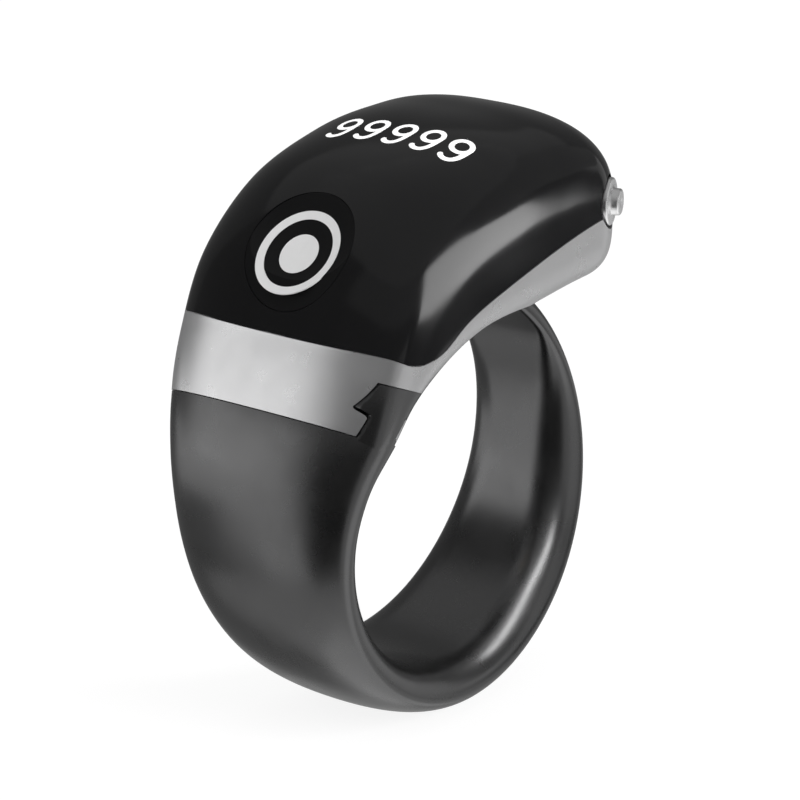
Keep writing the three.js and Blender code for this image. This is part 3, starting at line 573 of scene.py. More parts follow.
def tongue_prism(grow):
    start, end = TONGUE_ANGLES
    widen = math.degrees(grow / FINGER_RADIUS)
    top = FINGER_RADIUS + TONGUE_THICKNESS + grow
    outline = [polar(top, a) for a in (start - widen, (start + end) / 2, end + widen)]
    outline += [polar(INSIDE_HOLE, end + widen), polar(INSIDE_HOLE, start - widen)]
    return prism(outline, -FAR, FAR)


# %% [markdown]
# ## The band
#
# The band is one strip that narrows and thins as it runs round the finger. It is easiest to think
# of as a straight strip that is bent: the strip is modelled flat, with the angle along X, and a
# Geometry Nodes tree bends it round the finger. The finger's radius is an input of the tree, so
# the same strip fits any ring size.

# %% The strip, laid out flat
BAND_STATIONS = [  # angle, crown thickness, half width, edge height, inward bulge, corner
    (148, 2.6, 7.0, 0.78, 0, 0.3), (154, 2.48, 6.72, 0.68, 0, 0.3),
    (165, 2.29, 6.2, 0.55, 0.12, 0.8), (180, 1.97, 5.65, 0.5, 0.45, 1.3),
    (210, 1.67, 5.12, 0.47, 0.95, 1.9), (240, 1.75, 4.9, 0.47, 1.0, 2.1),
    (270, 1.74, 4.7, 0.47, 1.0, 2.2), (315, 1.42, 4.15, 0.47, 1.0, 2.25),
    (360, 1.38, 3.4, 0.47, 1.0, 2.2), (385, 1.45, 3.05, 0.36, 0.4, 1.4),
    (400, 1.5, 2.9, 0.25, 0, 0.5), (430, 1.4, 2.6, 0.25, 0, 0.3),
]
BAND_POWER = 2.25
band_keys = np.array([row[0] for row in BAND_STATIONS], float)
band_rows = np.array([row[1:] for row in BAND_STATIONS], float)


def band_section(angle, grow=0.0, dome=64, corners=24):
    """One cross-section: a domed outside, and an inside that bulges towards the finger."""
    thickness, half, edge, inward, corner = smooth(band_keys, band_rows, angle)
    bulge = max(inward, 0)
    turn = np.pi * (1 - np.arange(dome + 1) / dome)
    across = (half + grow) * signed_power(np.cos(turn), 2 / BAND_POWER)
    rise = edge + (thickness + grow - edge) * np.abs(np.sin(turn)) ** (2 / BAND_POWER)
    bend = np.linspace(0, np.pi / 2, corners + 1)[1:]
    low = half + grow - corner * (1 - np.cos(bend))
    low_rise = edge - (edge + bulge + grow) * np.sin(bend)
    inside = np.linspace(1, -1, 13)[1:-1] * low[-1]
    across = np.concatenate([across, low, inside, -low[::-1]])
    rise = np.concatenate([rise, low_rise, np.full(len(inside), -bulge - grow), low_rise[::-1]])
    return np.stack([np.full(len(across), float(angle)), across, rise], axis=1)


def flat_strip(start, end, rings, grow=0.0):
    return loft([band_section(a, grow) for a in np.linspace(start, end, rings + 1)])


# %% A tree that bends a strip round the finger
def new_tree(name, sizes):
    """A Geometry Nodes tree with a geometry input and named sizes."""
    tree = bpy.data.node_groups.new(name, "GeometryNodeTree")
    tree.interface.new_socket("Geometry", in_out="INPUT", socket_type="NodeSocketGeometry")
    for label, value in sizes.items():
        kind = "NodeSocketInt" if isinstance(value, int) else "NodeSocketFloat"
        socket = tree.interface.new_socket(label, in_out="INPUT", socket_type=kind)
        socket.default_value = value
    tree.interface.new_socket("Geometry", in_out="OUTPUT", socket_type="NodeSocketGeometry")
    return tree, tree.nodes.new("NodeGroupInput"), tree.nodes.new("NodeGroupOutput")


def step(tree, kind, inputs=(), **settings):
    """Adds a node, sets it and joins its inputs, by index or name."""
    made = tree.nodes.new(kind)
    for key, value in settings.items():
        setattr(made, key, value)
    for key, value in dict(inputs).items():
        if isinstance(value, bpy.types.NodeSocket):
            tree.links.new(value, made.inputs[key])
        else:
            made.inputs[key].default_value = value
    return made


def math_step(tree, operation, a, b=0.0):
    return step(tree, "ShaderNodeMath", {0: a, 1: b}, operation=operation).outputs[0]


def bending_tree(material):
    tree, given, result = new_tree("bend_round_finger", {"Finger radius": FINGER_RADIUS})
    place = step(tree, "GeometryNodeInputPosition").outputs[0]
    parts = step(tree, "ShaderNodeSeparateXYZ", {0: place}).outputs
    angle = math_step(tree, "RADIANS", parts[0])
    radius = math_step(tree, "ADD", parts[2], given.outputs["Finger radius"])
    x = math_step(tree, "MULTIPLY", radius, math_step(tree, "COSINE", angle))
    z = math_step(tree, "MULTIPLY", radius, math_step(tree, "SINE", angle))
    bent = step(tree, "ShaderNodeCombineXYZ", {0: x, 1: parts[1], 2: z}).outputs[0]
    moved = step(tree, "GeometryNodeSetPosition", {"Geometry": given.outputs[0], "Position": bent})
    real = step(tree, "GeometryNodeRealizeInstances", {0: moved.outputs[0]})
    coated = step(tree, "GeometryNodeSetMaterial", {0: real.outputs[0], "Material": material})
    tree.links.new(coated.outputs[0], result.inputs[0])
    return tree


def run_tree(made, tree, **sizes):
    """Runs a tree on an object. Each input is set by its socket's identifier."""
    modifier = made.modifiers.new("tree", "NODES")
    modifier.node_group = tree
    for item in tree.interface.items_tree:
        key = item.name.lower().replace(" ", "_")
        if item.item_type == "SOCKET" and item.in_out == "INPUT" and key in sizes:
            modifier[item.identifier] = sizes[key]
    return settled(made)


# %% [markdown]
# ## Finishes
#
# Every material is a node tree on Object coordinates, so the grain stays on its piece when a key
# moves. The scale of a noise is given in turns per metre: 4000 means a grain of a quarter of a
# millimetre. Colour, roughness and a slight bump all vary, as they do on real parts.

# %% Material tools
NOISE_RANGE = (0.3, 0.7)  # nearly all of a noise lies in it


def new_material(name, colour, metallic=0.0, roughness=0.4, **sockets):
    """A material with a Principled shader. More sockets are named with _ for a space."""
    made = bpy.data.materials.new(name)
    made.use_nodes = True
    made.diffuse_color = (*colour, 1)
    shader = made.node_tree.nodes["Principled BSDF"]
    shader.inputs["Base Color"].default_value = (*colour, 1)
    shader.inputs["Metallic"].default_value = metallic
    shader.inputs["Roughness"].default_value = roughness
    for key, value in sockets.items():
        shader.inputs[key.replace("_", " ")].default_value = value
    return made


def coordinates(tree, scale=(1, 1, 1)):
    """Object coordinates. An uneven scale draws the grain out along one axis."""
    place = step(tree, "ShaderNodeTexCoord").outputs["Object"]
    return step(tree, "ShaderNodeMapping", {"Vector": place, "Scale": scale}).outputs[0]


def noise(tree, scale, detail=3.0, vector=None):
    vector = vector or coordinates(tree)
    made = step(tree, "ShaderNodeTexNoise", {"Vector": vector, "Scale": scale, "Detail": detail})
    return made.outputs["Fac"]


def ranged(tree, value, low, high):
    start, end = NOISE_RANGE
    made = step(tree, "ShaderNodeMapRange", {0: value, 1: start, 2: end, 3: low, 4: high})
    return made.outputs[0]


def vary_roughness(made, value, low, high):
    tree = made.node_tree
    tree.links.new(ranged(tree, value, low, high), tree.nodes["Principled BSDF"].inputs["Roughness"])


def vary_colour(made, value, first, second):
    tree = made.node_tree
    mix = step(tree, "ShaderNodeMix", {0: value}, data_type="RGBA")
    mix.inputs[6].default_value = (*first, 1)
    mix.inputs[7].default_value = (*second, 1)
    tree.links.new(mix.outputs[2], tree.nodes["Principled BSDF"].inputs["Base Color"])


def add_bump(made, height, distance, strength=1.0):
    """Bump of a real height in metres."""
    tree = made.node_tree
    shader = tree.nodes["Principled BSDF"]
    bump = step(tree, "ShaderNodeBump", {"Strength": strength, "Distance": distance, "Height": height})
    tree.links.new(bump.outputs[0], shader.inputs["Normal"])


# %% Gloss black of the cover and the count key
def gloss_black(name, roughness, mirror):
    made = new_material(name, (0.0055, 0.0055, 0.006), roughness=roughness, Specular_IOR_Level=mirror)
    tree = made.node_tree
    clouds = noise(tree, 260, 4)
    vary_colour(made, clouds, (0.0048, 0.0048, 0.0052), (0.0068, 0.0067, 0.0070))
    vary_roughness(made, clouds, roughness - 0.02, roughness + 0.03)
    add_bump(made, noise(tree, 1800, 2), 0.0000006, 0.5)
    return made


cover_black = gloss_black("cover_gloss_black", 0.13, 0.38)
key_black = gloss_black("key_satin_black", 0.3, 0.2)

# %% Silver of the housing
housing_silver = new_material("housing_satin_silver", (0.62, 0.62, 0.625), 0.85, 0.28)
tree = housing_silver.node_tree
vary_colour(housing_silver, noise(tree, 300, 3), (0.60, 0.60, 0.605), (0.64, 0.64, 0.645))
vary_roughness(housing_silver, noise(tree, 700, 3), 0.26, 0.32)
add_bump(housing_silver, noise(tree, 9000, 2), 0.0000003, 0.06)

# %% Dark metal of the band
band_graphite = new_material("band_graphite_metal", (0.13, 0.13, 0.131), 1.0, 0.3)
tree = band_graphite.node_tree
vary_colour(band_graphite, noise(tree, 240, 4), (0.122, 0.122, 0.123), (0.144, 0.144, 0.145))
vary_roughness(band_graphite, noise(tree, 500, 3), 0.25, 0.32)
add_bump(band_graphite, noise(tree, 5000, 2), 0.0000004, 0.1)

# %% Marks, lit digits and the steel of the side key
mark_white = new_material("mark_white", (0.77, 0.77, 0.77), 0.0, 0.42)
vary_colour(mark_white, noise(mark_white.node_tree, 2500, 3), (0.75, 0.75, 0.75), (0.80, 0.80, 0.80))
add_bump(mark_white, noise(mark_white.node_tree, 9000, 2), 0.000001, 0.3)

digit_white = new_material("digit_white", (0.9, 0.9, 0.9), 0.0, 0.35,
                           Emission_Strength=0.45, Emission_Color=(1, 1, 1, 1))
vary_colour(digit_white, noise(digit_white.node_tree, 3000, 2), (0.88, 0.88, 0.88), (0.94, 0.94, 0.94))

key_steel = new_material("side_key_steel", (0.88, 0.88, 0.885), 1.0, 0.3)
vary_roughness(key_steel, noise(key_steel.node_tree, 4000, 3), 0.24, 0.36)
vary_colour(key_steel, noise(key_steel.node_tree, 900, 3), (0.85, 0.85, 0.855), (0.91, 0.91, 0.912))
add_bump(key_steel, noise(key_steel.node_tree, 16000, 2), 0.000001, 0.3)

# %% [markdown]
# ## Building the housing and the band
#
# Now the shells can be put together as in the CAD: the housing is the lower part of the head with
# its arch over the finger, a lip that stands up inside the cover, and four posts for the board.
# The band is the bent strip, cut where the head begins, with its tab added.

# %% Housing
POST_PLACES = [(x, y) for x in (-1.5, 3.5) for y in (-5.2, 5.2)]
POST_RADIUS = 0.75
POST_LOW = 8.0
CELL_PLAY = 0.3
CELL_THICKNESS = 1.4
BOARD_THICKNESS = 0.6
BOARD_LOW = FINGER_RADIUS + ARCH_WALL + CELL_PLAY + CELL_THICKNESS + CELL_PLAY
BOARD_TOP = BOARD_LOW + BOARD_THICKNESS
SCREW_RADIUS = 0.35
SCREW_PLAY = 0.04
SCREW_REACH = 1.4
CONTACT_ANGLE = 112
CONTACT_SIDE = 1.7
CONTACT_SUNK = 0.12
CONTACT_HOLE = [(0, -0.6), (0.77, -0.6), (0.77, 0.27), (0.37, 0.27), (0.37, 1.8), (0, 1.8)]  # radius, height
BEHIND_SEAM = 70  # degrees of band that the housing's cutter clears


def at_posts(radius, low, high, segments):
    """One upright disc at each of the four places of the board's screws."""
    return [disc(radius, low, high, segments, Matrix.Translation((x, y, 0))) for x, y in POST_PLACES]


def contact_hole(side):
    x, z = polar(FINGER_RADIUS + CONTACT_SUNK, CONTACT_ANGLE)
    turn = Matrix.Rotation(math.radians(90 - CONTACT_ANGLE), 4, "Y")
    return turned(CONTACT_HOLE, 48, Matrix.Translation((x, side * CONTACT_SIDE, z)) @ turn)


finger_hole = round_finger(FINGER_RADIUS)
cavity = cut(head(WALL), round_finger(FINGER_RADIUS + ARCH_WALL, 128), wedge(CAVITY_ANGLE, 200))
housing = common(copied(outer), below_split, keep=True)
joined(housing, head(WALL + SNAP_PLAY))
cut(housing, cavity)
posts = joined(*at_posts(POST_RADIUS, POST_LOW, BOARD_LOW, 48))
joined(housing, common(posts, head(WALL / 2)))
seam_slip = math.degrees(SEAM_GAP / FINGER_RADIUS)
band_side = wedge(SEAM_ANGLE - seam_slip, SEAM_ANGLE + BEHIND_SEAM)
cut(housing, copied(finger_hole), band_side, tab_prism(TAB_GAP, TAB_TOP_GAP))
tongue = cut(common(tongue_prism(0), outer, keep=True), copied(finger_hole))
joined(housing, tongue)
cut(housing, *at_posts(SCREW_RADIUS + SCREW_PLAY, BOARD_TOP - SCREW_REACH, BOARD_LOW + 1, 32))
cut(housing, contact_hole(-1), contact_hole(1))
cut(housing, key_room, side_room, seal_room, groove, keep=True)
print("housing:", len(housing.data.polygons), "faces")

# %% Band
PLUG_SPAN = 40  # degrees of the band's thin end that the cutter covers
PLUG_PLAY = 0.3  # degrees past its end
SEAM_LAP = 1.5  # degrees that the strip is made too long
FULL_HEIGHT = (SEAM_ANGLE - 4, SEAM_ANGLE + 40)  # angles where the band passes above the plug
HEAD_SIDE_SPAN = 50


def below(height):
    """All space below a height."""
    return box((-FAR, -FAR, -FAR), (FAR, FAR, height))


def bent(strip):
    return run_tree(strip, bend, finger_radius=FINGER_RADIUS)


bend = bending_tree(band_graphite)
plug = bent(flat_strip(BAND_END_ANGLE - PLUG_SPAN, BAND_END_ANGLE + PLUG_PLAY, 24, SNAP_PLAY))
cut(housing, common(plug, below(PLUG_TOP + SNAP_PLAY)))

band = bent(flat_strip(SEAM_ANGLE - SEAM_LAP, BAND_END_ANGLE, 300))
common(band, joined(below(PLUG_TOP), wedge(*FULL_HEIGHT)))
head_side = cut(wedge(SEAM_ANGLE - HEAD_SIDE_SPAN, SEAM_ANGLE), tab_prism(0, 0))
cut(band, head_side, tongue_prism(SNAP_PLAY))
tab = cut(common(tab_prism(0, 0), outer, keep=True), copied(finger_hole), tongue_prism(SNAP_PLAY))
joined(band, tab)
print("band:", len(band.data.polygons), "faces")

# %% [markdown]
# ## The count key
#
# The key is a round cap whose top is a shallow dish for the thumb. Round its edge it follows the
# curved crown, so it is cut from the head's own form, and then the dish is turned out of it. A
# light ring and a dot are inlaid in the dish.

# %% Count key
DISH_REACH = 1.3  # the dish's cutter, as a share of the key's radius
SKIRT_INSET = 0.6
CAP_LAP = 0.2
RING_MARK = (1.90, 2.35)
DOT_MARK = (0.0, 1.09)
MARK_SHIFT = (-0.2, 0.0)
MARK_LIFT = 0.012
MARK_DEPTH = 0.06


def dish_height(radius):
    return COUNT_KEY_DISH * ((radius / COUNT_KEY_RADIUS) ** 2 - 1) - COUNT_KEY_LEVEL


def count_key_cap():
    steps = np.linspace(0, DISH_REACH, 40) * COUNT_KEY_RADIUS
    dish = [(r, dish_height(r)) for r in steps] + [(steps[-1], CUTTER_TOP), (0, CUTTER_TOP)]
    dish = turned(dish, 192, count_place)
    cap = disc(COUNT_KEY_RADIUS, LUG_TOP - CAP_LAP, CUTTER_TOP, 192, count_place)
    cap = common(cap, outer, keep=True)
    lugs = common(
        disc(LUG_RADIUS, LUG_LOW, LUG_TOP, 96, count_place),
        box((-LUG_HALF_WIDTH, -FAR, LUG_LOW), (LUG_HALF_WIDTH, FAR, LUG_TOP), count_place),
    )
    skirt = disc(COUNT_KEY_RADIUS - SKIRT_INSET, LUG_LOW, LUG_TOP, 96, count_place)
    return joined(cut(cap, dish), skirt, lugs)


def inlay(inner, outer_radius):
    """A thin ring or dot that follows the dish."""
    radii = np.linspace(inner, outer_radius, 9)
    top = [(r, dish_height(r) + MARK_LIFT) for r in radii]
    low = [(r, dish_height(r) - MARK_DEPTH) for r in radii[::-1]]
    made = turned(top + low, 160)
    for vertex in made.data.vertices:
        x, y, z = vertex.co
        moved = Vector((x + MARK_SHIFT[0], y + MARK_SHIFT[1], z))
        moved.z += dish_height(moved.xy.length) - dish_height(vertex.co.xy.length)
        vertex.co = moved
    made.data.transform(count_place)
    return made


count_key = count_key_cap()
ring_mark = inlay(*RING_MARK)
dot_mark = inlay(*DOT_MARK)
print("count key:", len(count_key.data.polygons), "faces")

# %% [markdown]
# ## The side key
#
# The small key is a turned steel button, so one profile, spun round its axis, makes all of it: the
# stem, a flat rim, a fillet, the boss and the dimple in its end.

# %% Side key
BOSS_RADIUS = 0.68
BOSS_HEIGHT = 0.44
EDGE_ROUND = 0.12
BOSS_FILLET = [(0.78, 0), (0.71, 0.03), (0.68, 0.09)]  # radius, height over the rim
DIMPLE = [(0.22, 0), (0.17, -0.02), (0.12, -0.08), (0, -0.14)]  # radius, height over the boss


def round_edge(radius, top, steps=6):
    """Profile points of a rounded outer edge."""
    middle, height = radius - EDGE_ROUND, top - EDGE_ROUND
    turns = np.linspace(0, math.pi / 2, steps)
    return [(middle + EDGE_ROUND * math.cos(t), height + EDGE_ROUND * math.sin(t)) for t in turns]


def side_key_shape():
    boss_top = SIDE_KEY_TOP + BOSS_HEIGHT
    profile = [(0, STEM_END), (STEM_RADIUS, STEM_END)]
    profile += [(STEM_RADIUS, SIDE_KEY_LOW), (SIDE_KEY_RADIUS, SIDE_KEY_LOW)]
    profile += round_edge(SIDE_KEY_RADIUS, SIDE_KEY_TOP)
    profile += [(radius, SIDE_KEY_TOP + height) for radius, height in BOSS_FILLET]
    profile += round_edge(BOSS_RADIUS, boss_top)
    profile += [(radius, boss_top + height) for radius, height in DIMPLE]
    return turned(profile, 96, side_place)


side_key = side_key_shape()
print("side key:", len(side_key.data.polygons), "faces")

# %% [markdown]
# ## Five digits on the display
#
# The display shines through the cover as five white digits. One digit is a single stroke, drawn as
# a curve. A Geometry Nodes tree sweeps the stroke, repeats it in a row and lets each point fall on
# the curved cover, so the digits lie on the surface wherever the row is put.

# %% The stroke of one digit
DIGIT_COUNT = 5
DIGIT_PITCH = 1.73
DIGIT_HEIGHT = 1.86
DIGIT_WIDTH = 1.03
STROKE = 0.28
ROW_X = -0.99
ROW_Y = 2.92
ROW_LEAN = 0.07
DIGIT_LIFT = 0.012
DIGIT_FLATNESS = 0.12  # the round stroke is pressed to this share of its height
TAIL_POINTS = [  # shares of the digit's width and height
    (-0.48, -0.33), (-0.38, -0.43), (-0.2, -0.49), (0.02, -0.5), (0.24, -0.44), (0.4, -0.3), (0.48, -0.08),
]
BOWL_MIDDLE = 0.22
BOWL_HALF_WIDTH = 0.5
BOWL_HALF_HEIGHT = 0.28


def digit_path():
    """The middle of the stroke of a nine: a tail, a long side and a closed bowl."""
    turns = np.linspace(0, 2 * math.pi, 41)
    bowl = [(BOWL_HALF_WIDTH * math.cos(t), BOWL_MIDDLE + BOWL_HALF_HEIGHT * math.sin(t)) for t in turns]
    return [[(x * DIGIT_WIDTH, y * DIGIT_HEIGHT) for x, y in part] for part in (TAIL_POINTS, bowl)]


def stroke_curve():
    """The stroke as a curve whose tail end tapers to a round tip."""
    tail, bowl = digit_path()
    line = through(tail + bowl[:3], 8)
    line = np.vstack([line, bowl[3:]])
    curve = bpy.data.curves.new("digit_stroke", "CURVE")
    curve.dimensions = "3D"
    spline = curve.splines.new("POLY")
    gaps = np.linalg.norm(np.diff(line, axis=0), axis=1)
    run = np.concatenate([[0], np.cumsum(gaps)])
    tips = np.array([0.02, 0.08, 0.2, 0.4, 0.7]) * STROKE / 2
    at = np.unique(np.concatenate([run, tips]))
    x, y = np.interp(at, run, line[:, 0]), np.interp(at, run, line[:, 1])
    spline.points.add(len(at) - 1)
    for point, px, py, distance in zip(spline.points, x, y, at):
        share = min(distance / (STROKE / 2), 1)
        point.co = (px, py, 0, 1)
        point.radius = max(math.sqrt(1 - (1 - share) ** 2), 0.05)
    made = bpy.data.objects.new("digit_row", curve)
    bpy.context.scene.collection.objects.link(made)
    return made


# %% A tree that sets a row of digits on the cover
def row_tree(surface, material):
    tree, given, result = new_tree("row_of_digits", {
        "Count": DIGIT_COUNT, "Pitch": DIGIT_PITCH, "Stroke": STROKE, "Lift": DIGIT_LIFT,
        "Row X": ROW_X, "Row Y": ROW_Y, "Lean": ROW_LEAN,
    })
    sizes = given.outputs
    profile = step(tree, "GeometryNodeCurvePrimitiveCircle", {
        "Resolution": 12, "Radius": math_step(tree, "MULTIPLY", sizes["Stroke"], 0.5),
    })
    radius = step(tree, "GeometryNodeInputRadius").outputs[0]
    swept = step(tree, "GeometryNodeCurveToMesh", {
        "Curve": sizes[0], "Profile Curve": profile.outputs[0], "Scale": radius, "Fill Caps": True,
    })
    offset = step(tree, "ShaderNodeCombineXYZ", {0: sizes["Pitch"], 1: sizes["Lean"]}).outputs[0]
    line = step(tree, "GeometryNodeMeshLine", {"Count": sizes["Count"], "Offset": offset})
    row = step(tree, "GeometryNodeInstanceOnPoints", {
        "Points": line.outputs[0], "Instance": swept.outputs[0],
    })
    real = step(tree, "GeometryNodeRealizeInstances", {0: row.outputs[0]})
    corner = step(tree, "ShaderNodeCombineXYZ", {0: sizes["Row X"], 1: sizes["Row Y"]}).outputs[0]
    turn = (0, 0, -math.pi / 2)
    laid = step(tree, "GeometryNodeTransform", {
        "Geometry": real.outputs[0], "Translation": corner, "Rotation": turn,
    })
    cover_in = step(tree, "GeometryNodeObjectInfo", {"Object": surface}, transform_space="RELATIVE")
    place = step(tree, "GeometryNodeInputPosition").outputs[0]
    parts = step(tree, "ShaderNodeSeparateXYZ", {0: place}).outputs
    above = step(tree, "ShaderNodeCombineXYZ", {0: parts[0], 1: parts[1], 2: FAR}).outputs[0]
    ray = step(tree, "GeometryNodeRaycast", {
        "Target Geometry": cover_in.outputs["Geometry"], "Source Position": above,
        "Ray Direction": (0, 0, -1), "Ray Length": 2 * FAR,
    })
    down = step(tree, "ShaderNodeSeparateXYZ", {0: ray.outputs["Hit Position"]}).outputs[2]
    height = math_step(tree, "MULTIPLY", parts[2], DIGIT_FLATNESS)
    height = math_step(tree, "ADD", height, sizes["Lift"])
    landed = step(tree, "ShaderNodeCombineXYZ", {
        0: parts[0], 1: parts[1], 2: math_step(tree, "ADD", down, height),
    }).outputs[0]
    moved = step(tree, "GeometryNodeSetPosition", {"Geometry": laid.outputs[0], "Position": landed})
    coated = step(tree, "GeometryNodeSetMaterial", {0: moved.outputs[0], "Material": material})
    tree.links.new(coated.outputs[0], result.inputs[0])
    return tree


digits = run_tree(stroke_curve(), row_tree(cover, digit_white), count=DIGIT_COUNT, pitch=DIGIT_PITCH)
print("digits:", len(digits.data.polygons), "faces")

# %% [markdown]
# ## Handing the pieces over
#
# Each finished piece goes to metres, is smoothed up to its sharp edges and rides on its body. It
# stands for the CAD node of the same kind, which stays in the simulation.
#
# Booleans leave long thin faces round each cut, and smooth shading over them shows as dents in a
# gloss surface. So the tiniest faces are welded away, and where a face lies on the head's skin it
# takes its normals from the head as it was before any cut.

# %% Ride and replace
def without_slivers(made, size=0.004):
    """Welds the tiny faces that booleans leave, because they spoil the smooth shading."""
    shape = bmesh.new()
    shape.from_mesh(made.data)
    bmesh.ops.remove_doubles(shape, verts=shape.verts, dist=size)
    bmesh.ops.dissolve_degenerate(shape, edges=shape.edges, dist=size)
    shape.to_mesh(made.data)
    shape.free()


def skin_reader(skin):
    """A function that gives the smooth normal of the uncut head where a point lies on its skin."""
    mesh = skin.data
    mesh.calc_loop_triangles()
    corners = [tuple(triangle.vertices) for triangle in mesh.loop_triangles]
    points = [vertex.co.copy() for vertex in mesh.vertices]
    normals = [normal.vector.copy() for normal in mesh.vertex_normals]
    tree = BVHTree.FromPolygons(points, corners)

    def read(point, reach=0.01):
        place, _, index, distance = tree.find_nearest(point)
        if distance > reach:
            return None
        a, b, c = corners[index]
        return barycentric_transform(
            place, points[a], points[b], points[c], normals[a], normals[b], normals[c]).normalized()

    return read


def shade_like_skin(made, read):
    """Faces on the head's skin take the normals of the uncut head; the faces beside them stay flat."""
    mesh = made.data
    found = [read(vertex.co) for vertex in mesh.vertices]
    corner_normals = [normal.vector.copy() for normal in mesh.corner_normals]
    for face in mesh.polygons:
        seen = [found[i] for i in face.vertices]
        if not any(seen):
            continue
        on_skin = all(seen) and (face.area < 1e-5 or face.normal.dot(seen[0]) > 0.7)
        for corner, normal in zip(face.loop_indices, seen):
            corner_normals[corner] = normal if on_skin else face.normal.copy()
    mesh.normals_split_custom_set(corner_normals)


def hand_over(made, name, body, material, node=None, sharp=30, skin=None):
    made.name = made.data.name = name
    without_slivers(made)
    made.data.materials.clear()
    made.data.materials.append(material)
    made.data.shade_smooth()
    made.data.set_sharp_from_angle(angle=math.radians(sharp))
    if skin:
        shade_like_skin(made, skin)
    made.data.transform(Matrix.Scale(MM, 4))
    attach(made, body)
    if node:
        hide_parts(node)
    return made


skin = skin_reader(outer)
for helper in (outer, below_split, groove, key_room, side_room, seal_room, finger_hole):
    bpy.data.objects.remove(helper)

hand_over(cover, "cover_shell", "head", cover_black, "top_cover", skin=skin)
hand_over(housing, "housing_shell", "head", housing_silver, "housing", skin=skin)
hand_over(band, "ring_band", "head", band_graphite, "band")
hand_over(digits, "display_digits", "head", digit_white)
hand_over(count_key, "count_key_cap", "count_key", key_black, "count_key", skin=skin)
hand_over(ring_mark, "count_key_ring", "count_key", mark_white)
hand_over(dot_mark, "count_key_dot", "count_key", mark_white)
hand_over(side_key, "side_key_turned", "side_key", key_steel, "side_key")

# %% [markdown]
# ## The parts inside
#
# Nothing of the electronics shows while the shells are closed, but each part still gets its own
# finish: green solder mask with copper paths, moulded black chips, amber film, foil and steel.

# %% Finishes of the inner parts
def dress(material, *nodes):
    for name in nodes:
        slots = NODES[name].data.materials
        slots.clear()
        slots.append(material)


def circuit_board():
    made = new_material("board_solder_mask", (0.02, 0.12, 0.05), 0.0, 0.35)
    tree = made.node_tree
    bricks = step(tree, "ShaderNodeTexBrick", {
        "Vector": coordinates(tree), "Scale": 900.0, "Mortar Size": 0.06, "Color1": (0.015, 0.10, 0.045, 1),
        "Color2": (0.02, 0.125, 0.055, 1), "Mortar": (0.05, 0.22, 0.10, 1),
    })
    tree.links.new(bricks.outputs["Color"], tree.nodes["Principled BSDF"].inputs["Base Color"])
    add_bump(made, bricks.outputs["Fac"], 0.00002, 0.4)
    return made


def brushed(name, colour, low, high, stretch):
    made = new_material(name, colour, 1.0, (low + high) / 2)
    lines = noise(made.node_tree, 3000, 3, coordinates(made.node_tree, stretch))
    vary_roughness(made, lines, low, high)
    vary_colour(made, lines, tuple(0.9 * c for c in colour), tuple(min(1.05 * c, 1) for c in colour))
    add_bump(made, lines, 0.000003, 0.3)
    return made


def mottled(name, colour, roughness, scale, height, metallic=0.0):
    made = new_material(name, colour, metallic, roughness)
    field = noise(made.node_tree, scale, 4)
    vary_colour(made, field, tuple(0.85 * c for c in colour), tuple(1.12 * c for c in colour))
    vary_roughness(made, field, roughness - 0.06, roughness + 0.08)
    add_bump(made, field, height, 0.5)
    return made


dress(circuit_board(), "main_board", "key_board")
dress(mottled("chip_black", (0.02, 0.02, 0.022), 0.5, 6000, 0.000004), "controller_chip", "charger_chip")
dress(mottled("film_amber", (0.45, 0.17, 0.03), 0.3, 1500, 0.000004), "display_cable", "key_cable")
dress(mottled("cell_foil", (0.60, 0.61, 0.63), 0.35, 900, 0.00003, 1.0), "battery")
dress(mottled("seal_rubber", (0.02, 0.02, 0.021), 0.75, 5000, 0.000006), "cover_seal")
dress(mottled("frame_plastic", (0.035, 0.035, 0.037), 0.5, 7000, 0.000005),
      "display_carrier", "count_switch", "side_switch", "side_plunger")
dress(mottled("display_glass", (0.012, 0.013, 0.018), 0.12, 700, 0.000001), "display_panel")
dress(brushed("bright_steel", (0.62, 0.62, 0.63), 0.18, 0.34, (1, 12, 12)),
      "count_plunger", "side_key_clip", "clock_crystal", "vibration_motor", "battery_tab_1", "battery_tab_2",
      *[f"board_screw_{i}" for i in range(1, 5)])
dress(brushed("contact_gold", (0.85, 0.58, 0.22), 0.16, 0.28, (8, 1, 8)),
      "charge_contact_1", "charge_contact_2")

# %% [markdown]
# ## The studio
#
# The photograph shows the ring cut out on pure white. The world and the table are white here too.
# Both are at full strength only for rays that see the background, so they light the ring gently
# and leave its colours as they are.

# %% World
WORLD_LIGHT = 0.5
world = bpy.data.worlds.new("white_studio")
bpy.context.scene.world = world
world.use_nodes = True
tree = world.node_tree
tree.nodes.clear()


def background_rays(tree):
    """1 for the rays that show the background, 0 for the rays that light."""
    rays = step(tree, "ShaderNodeLightPath").outputs
    seen = math_step(tree, "MAXIMUM", rays["Is Camera Ray"], rays["Is Glossy Ray"])
    return math_step(tree, "MAXIMUM", seen, rays["Is Transmission Ray"])


seen = background_rays(tree)
strength = step(tree, "ShaderNodeMapRange", {0: seen, 1: 0.0, 2: 1.0, 3: WORLD_LIGHT, 4: 1.0}).outputs[0]
sky = step(tree, "ShaderNodeBackground", {"Color": (1, 1, 1, 1), "Strength": strength})
tree.links.new(sky.outputs[0], step(tree, "ShaderNodeOutputWorld").inputs["Surface"])

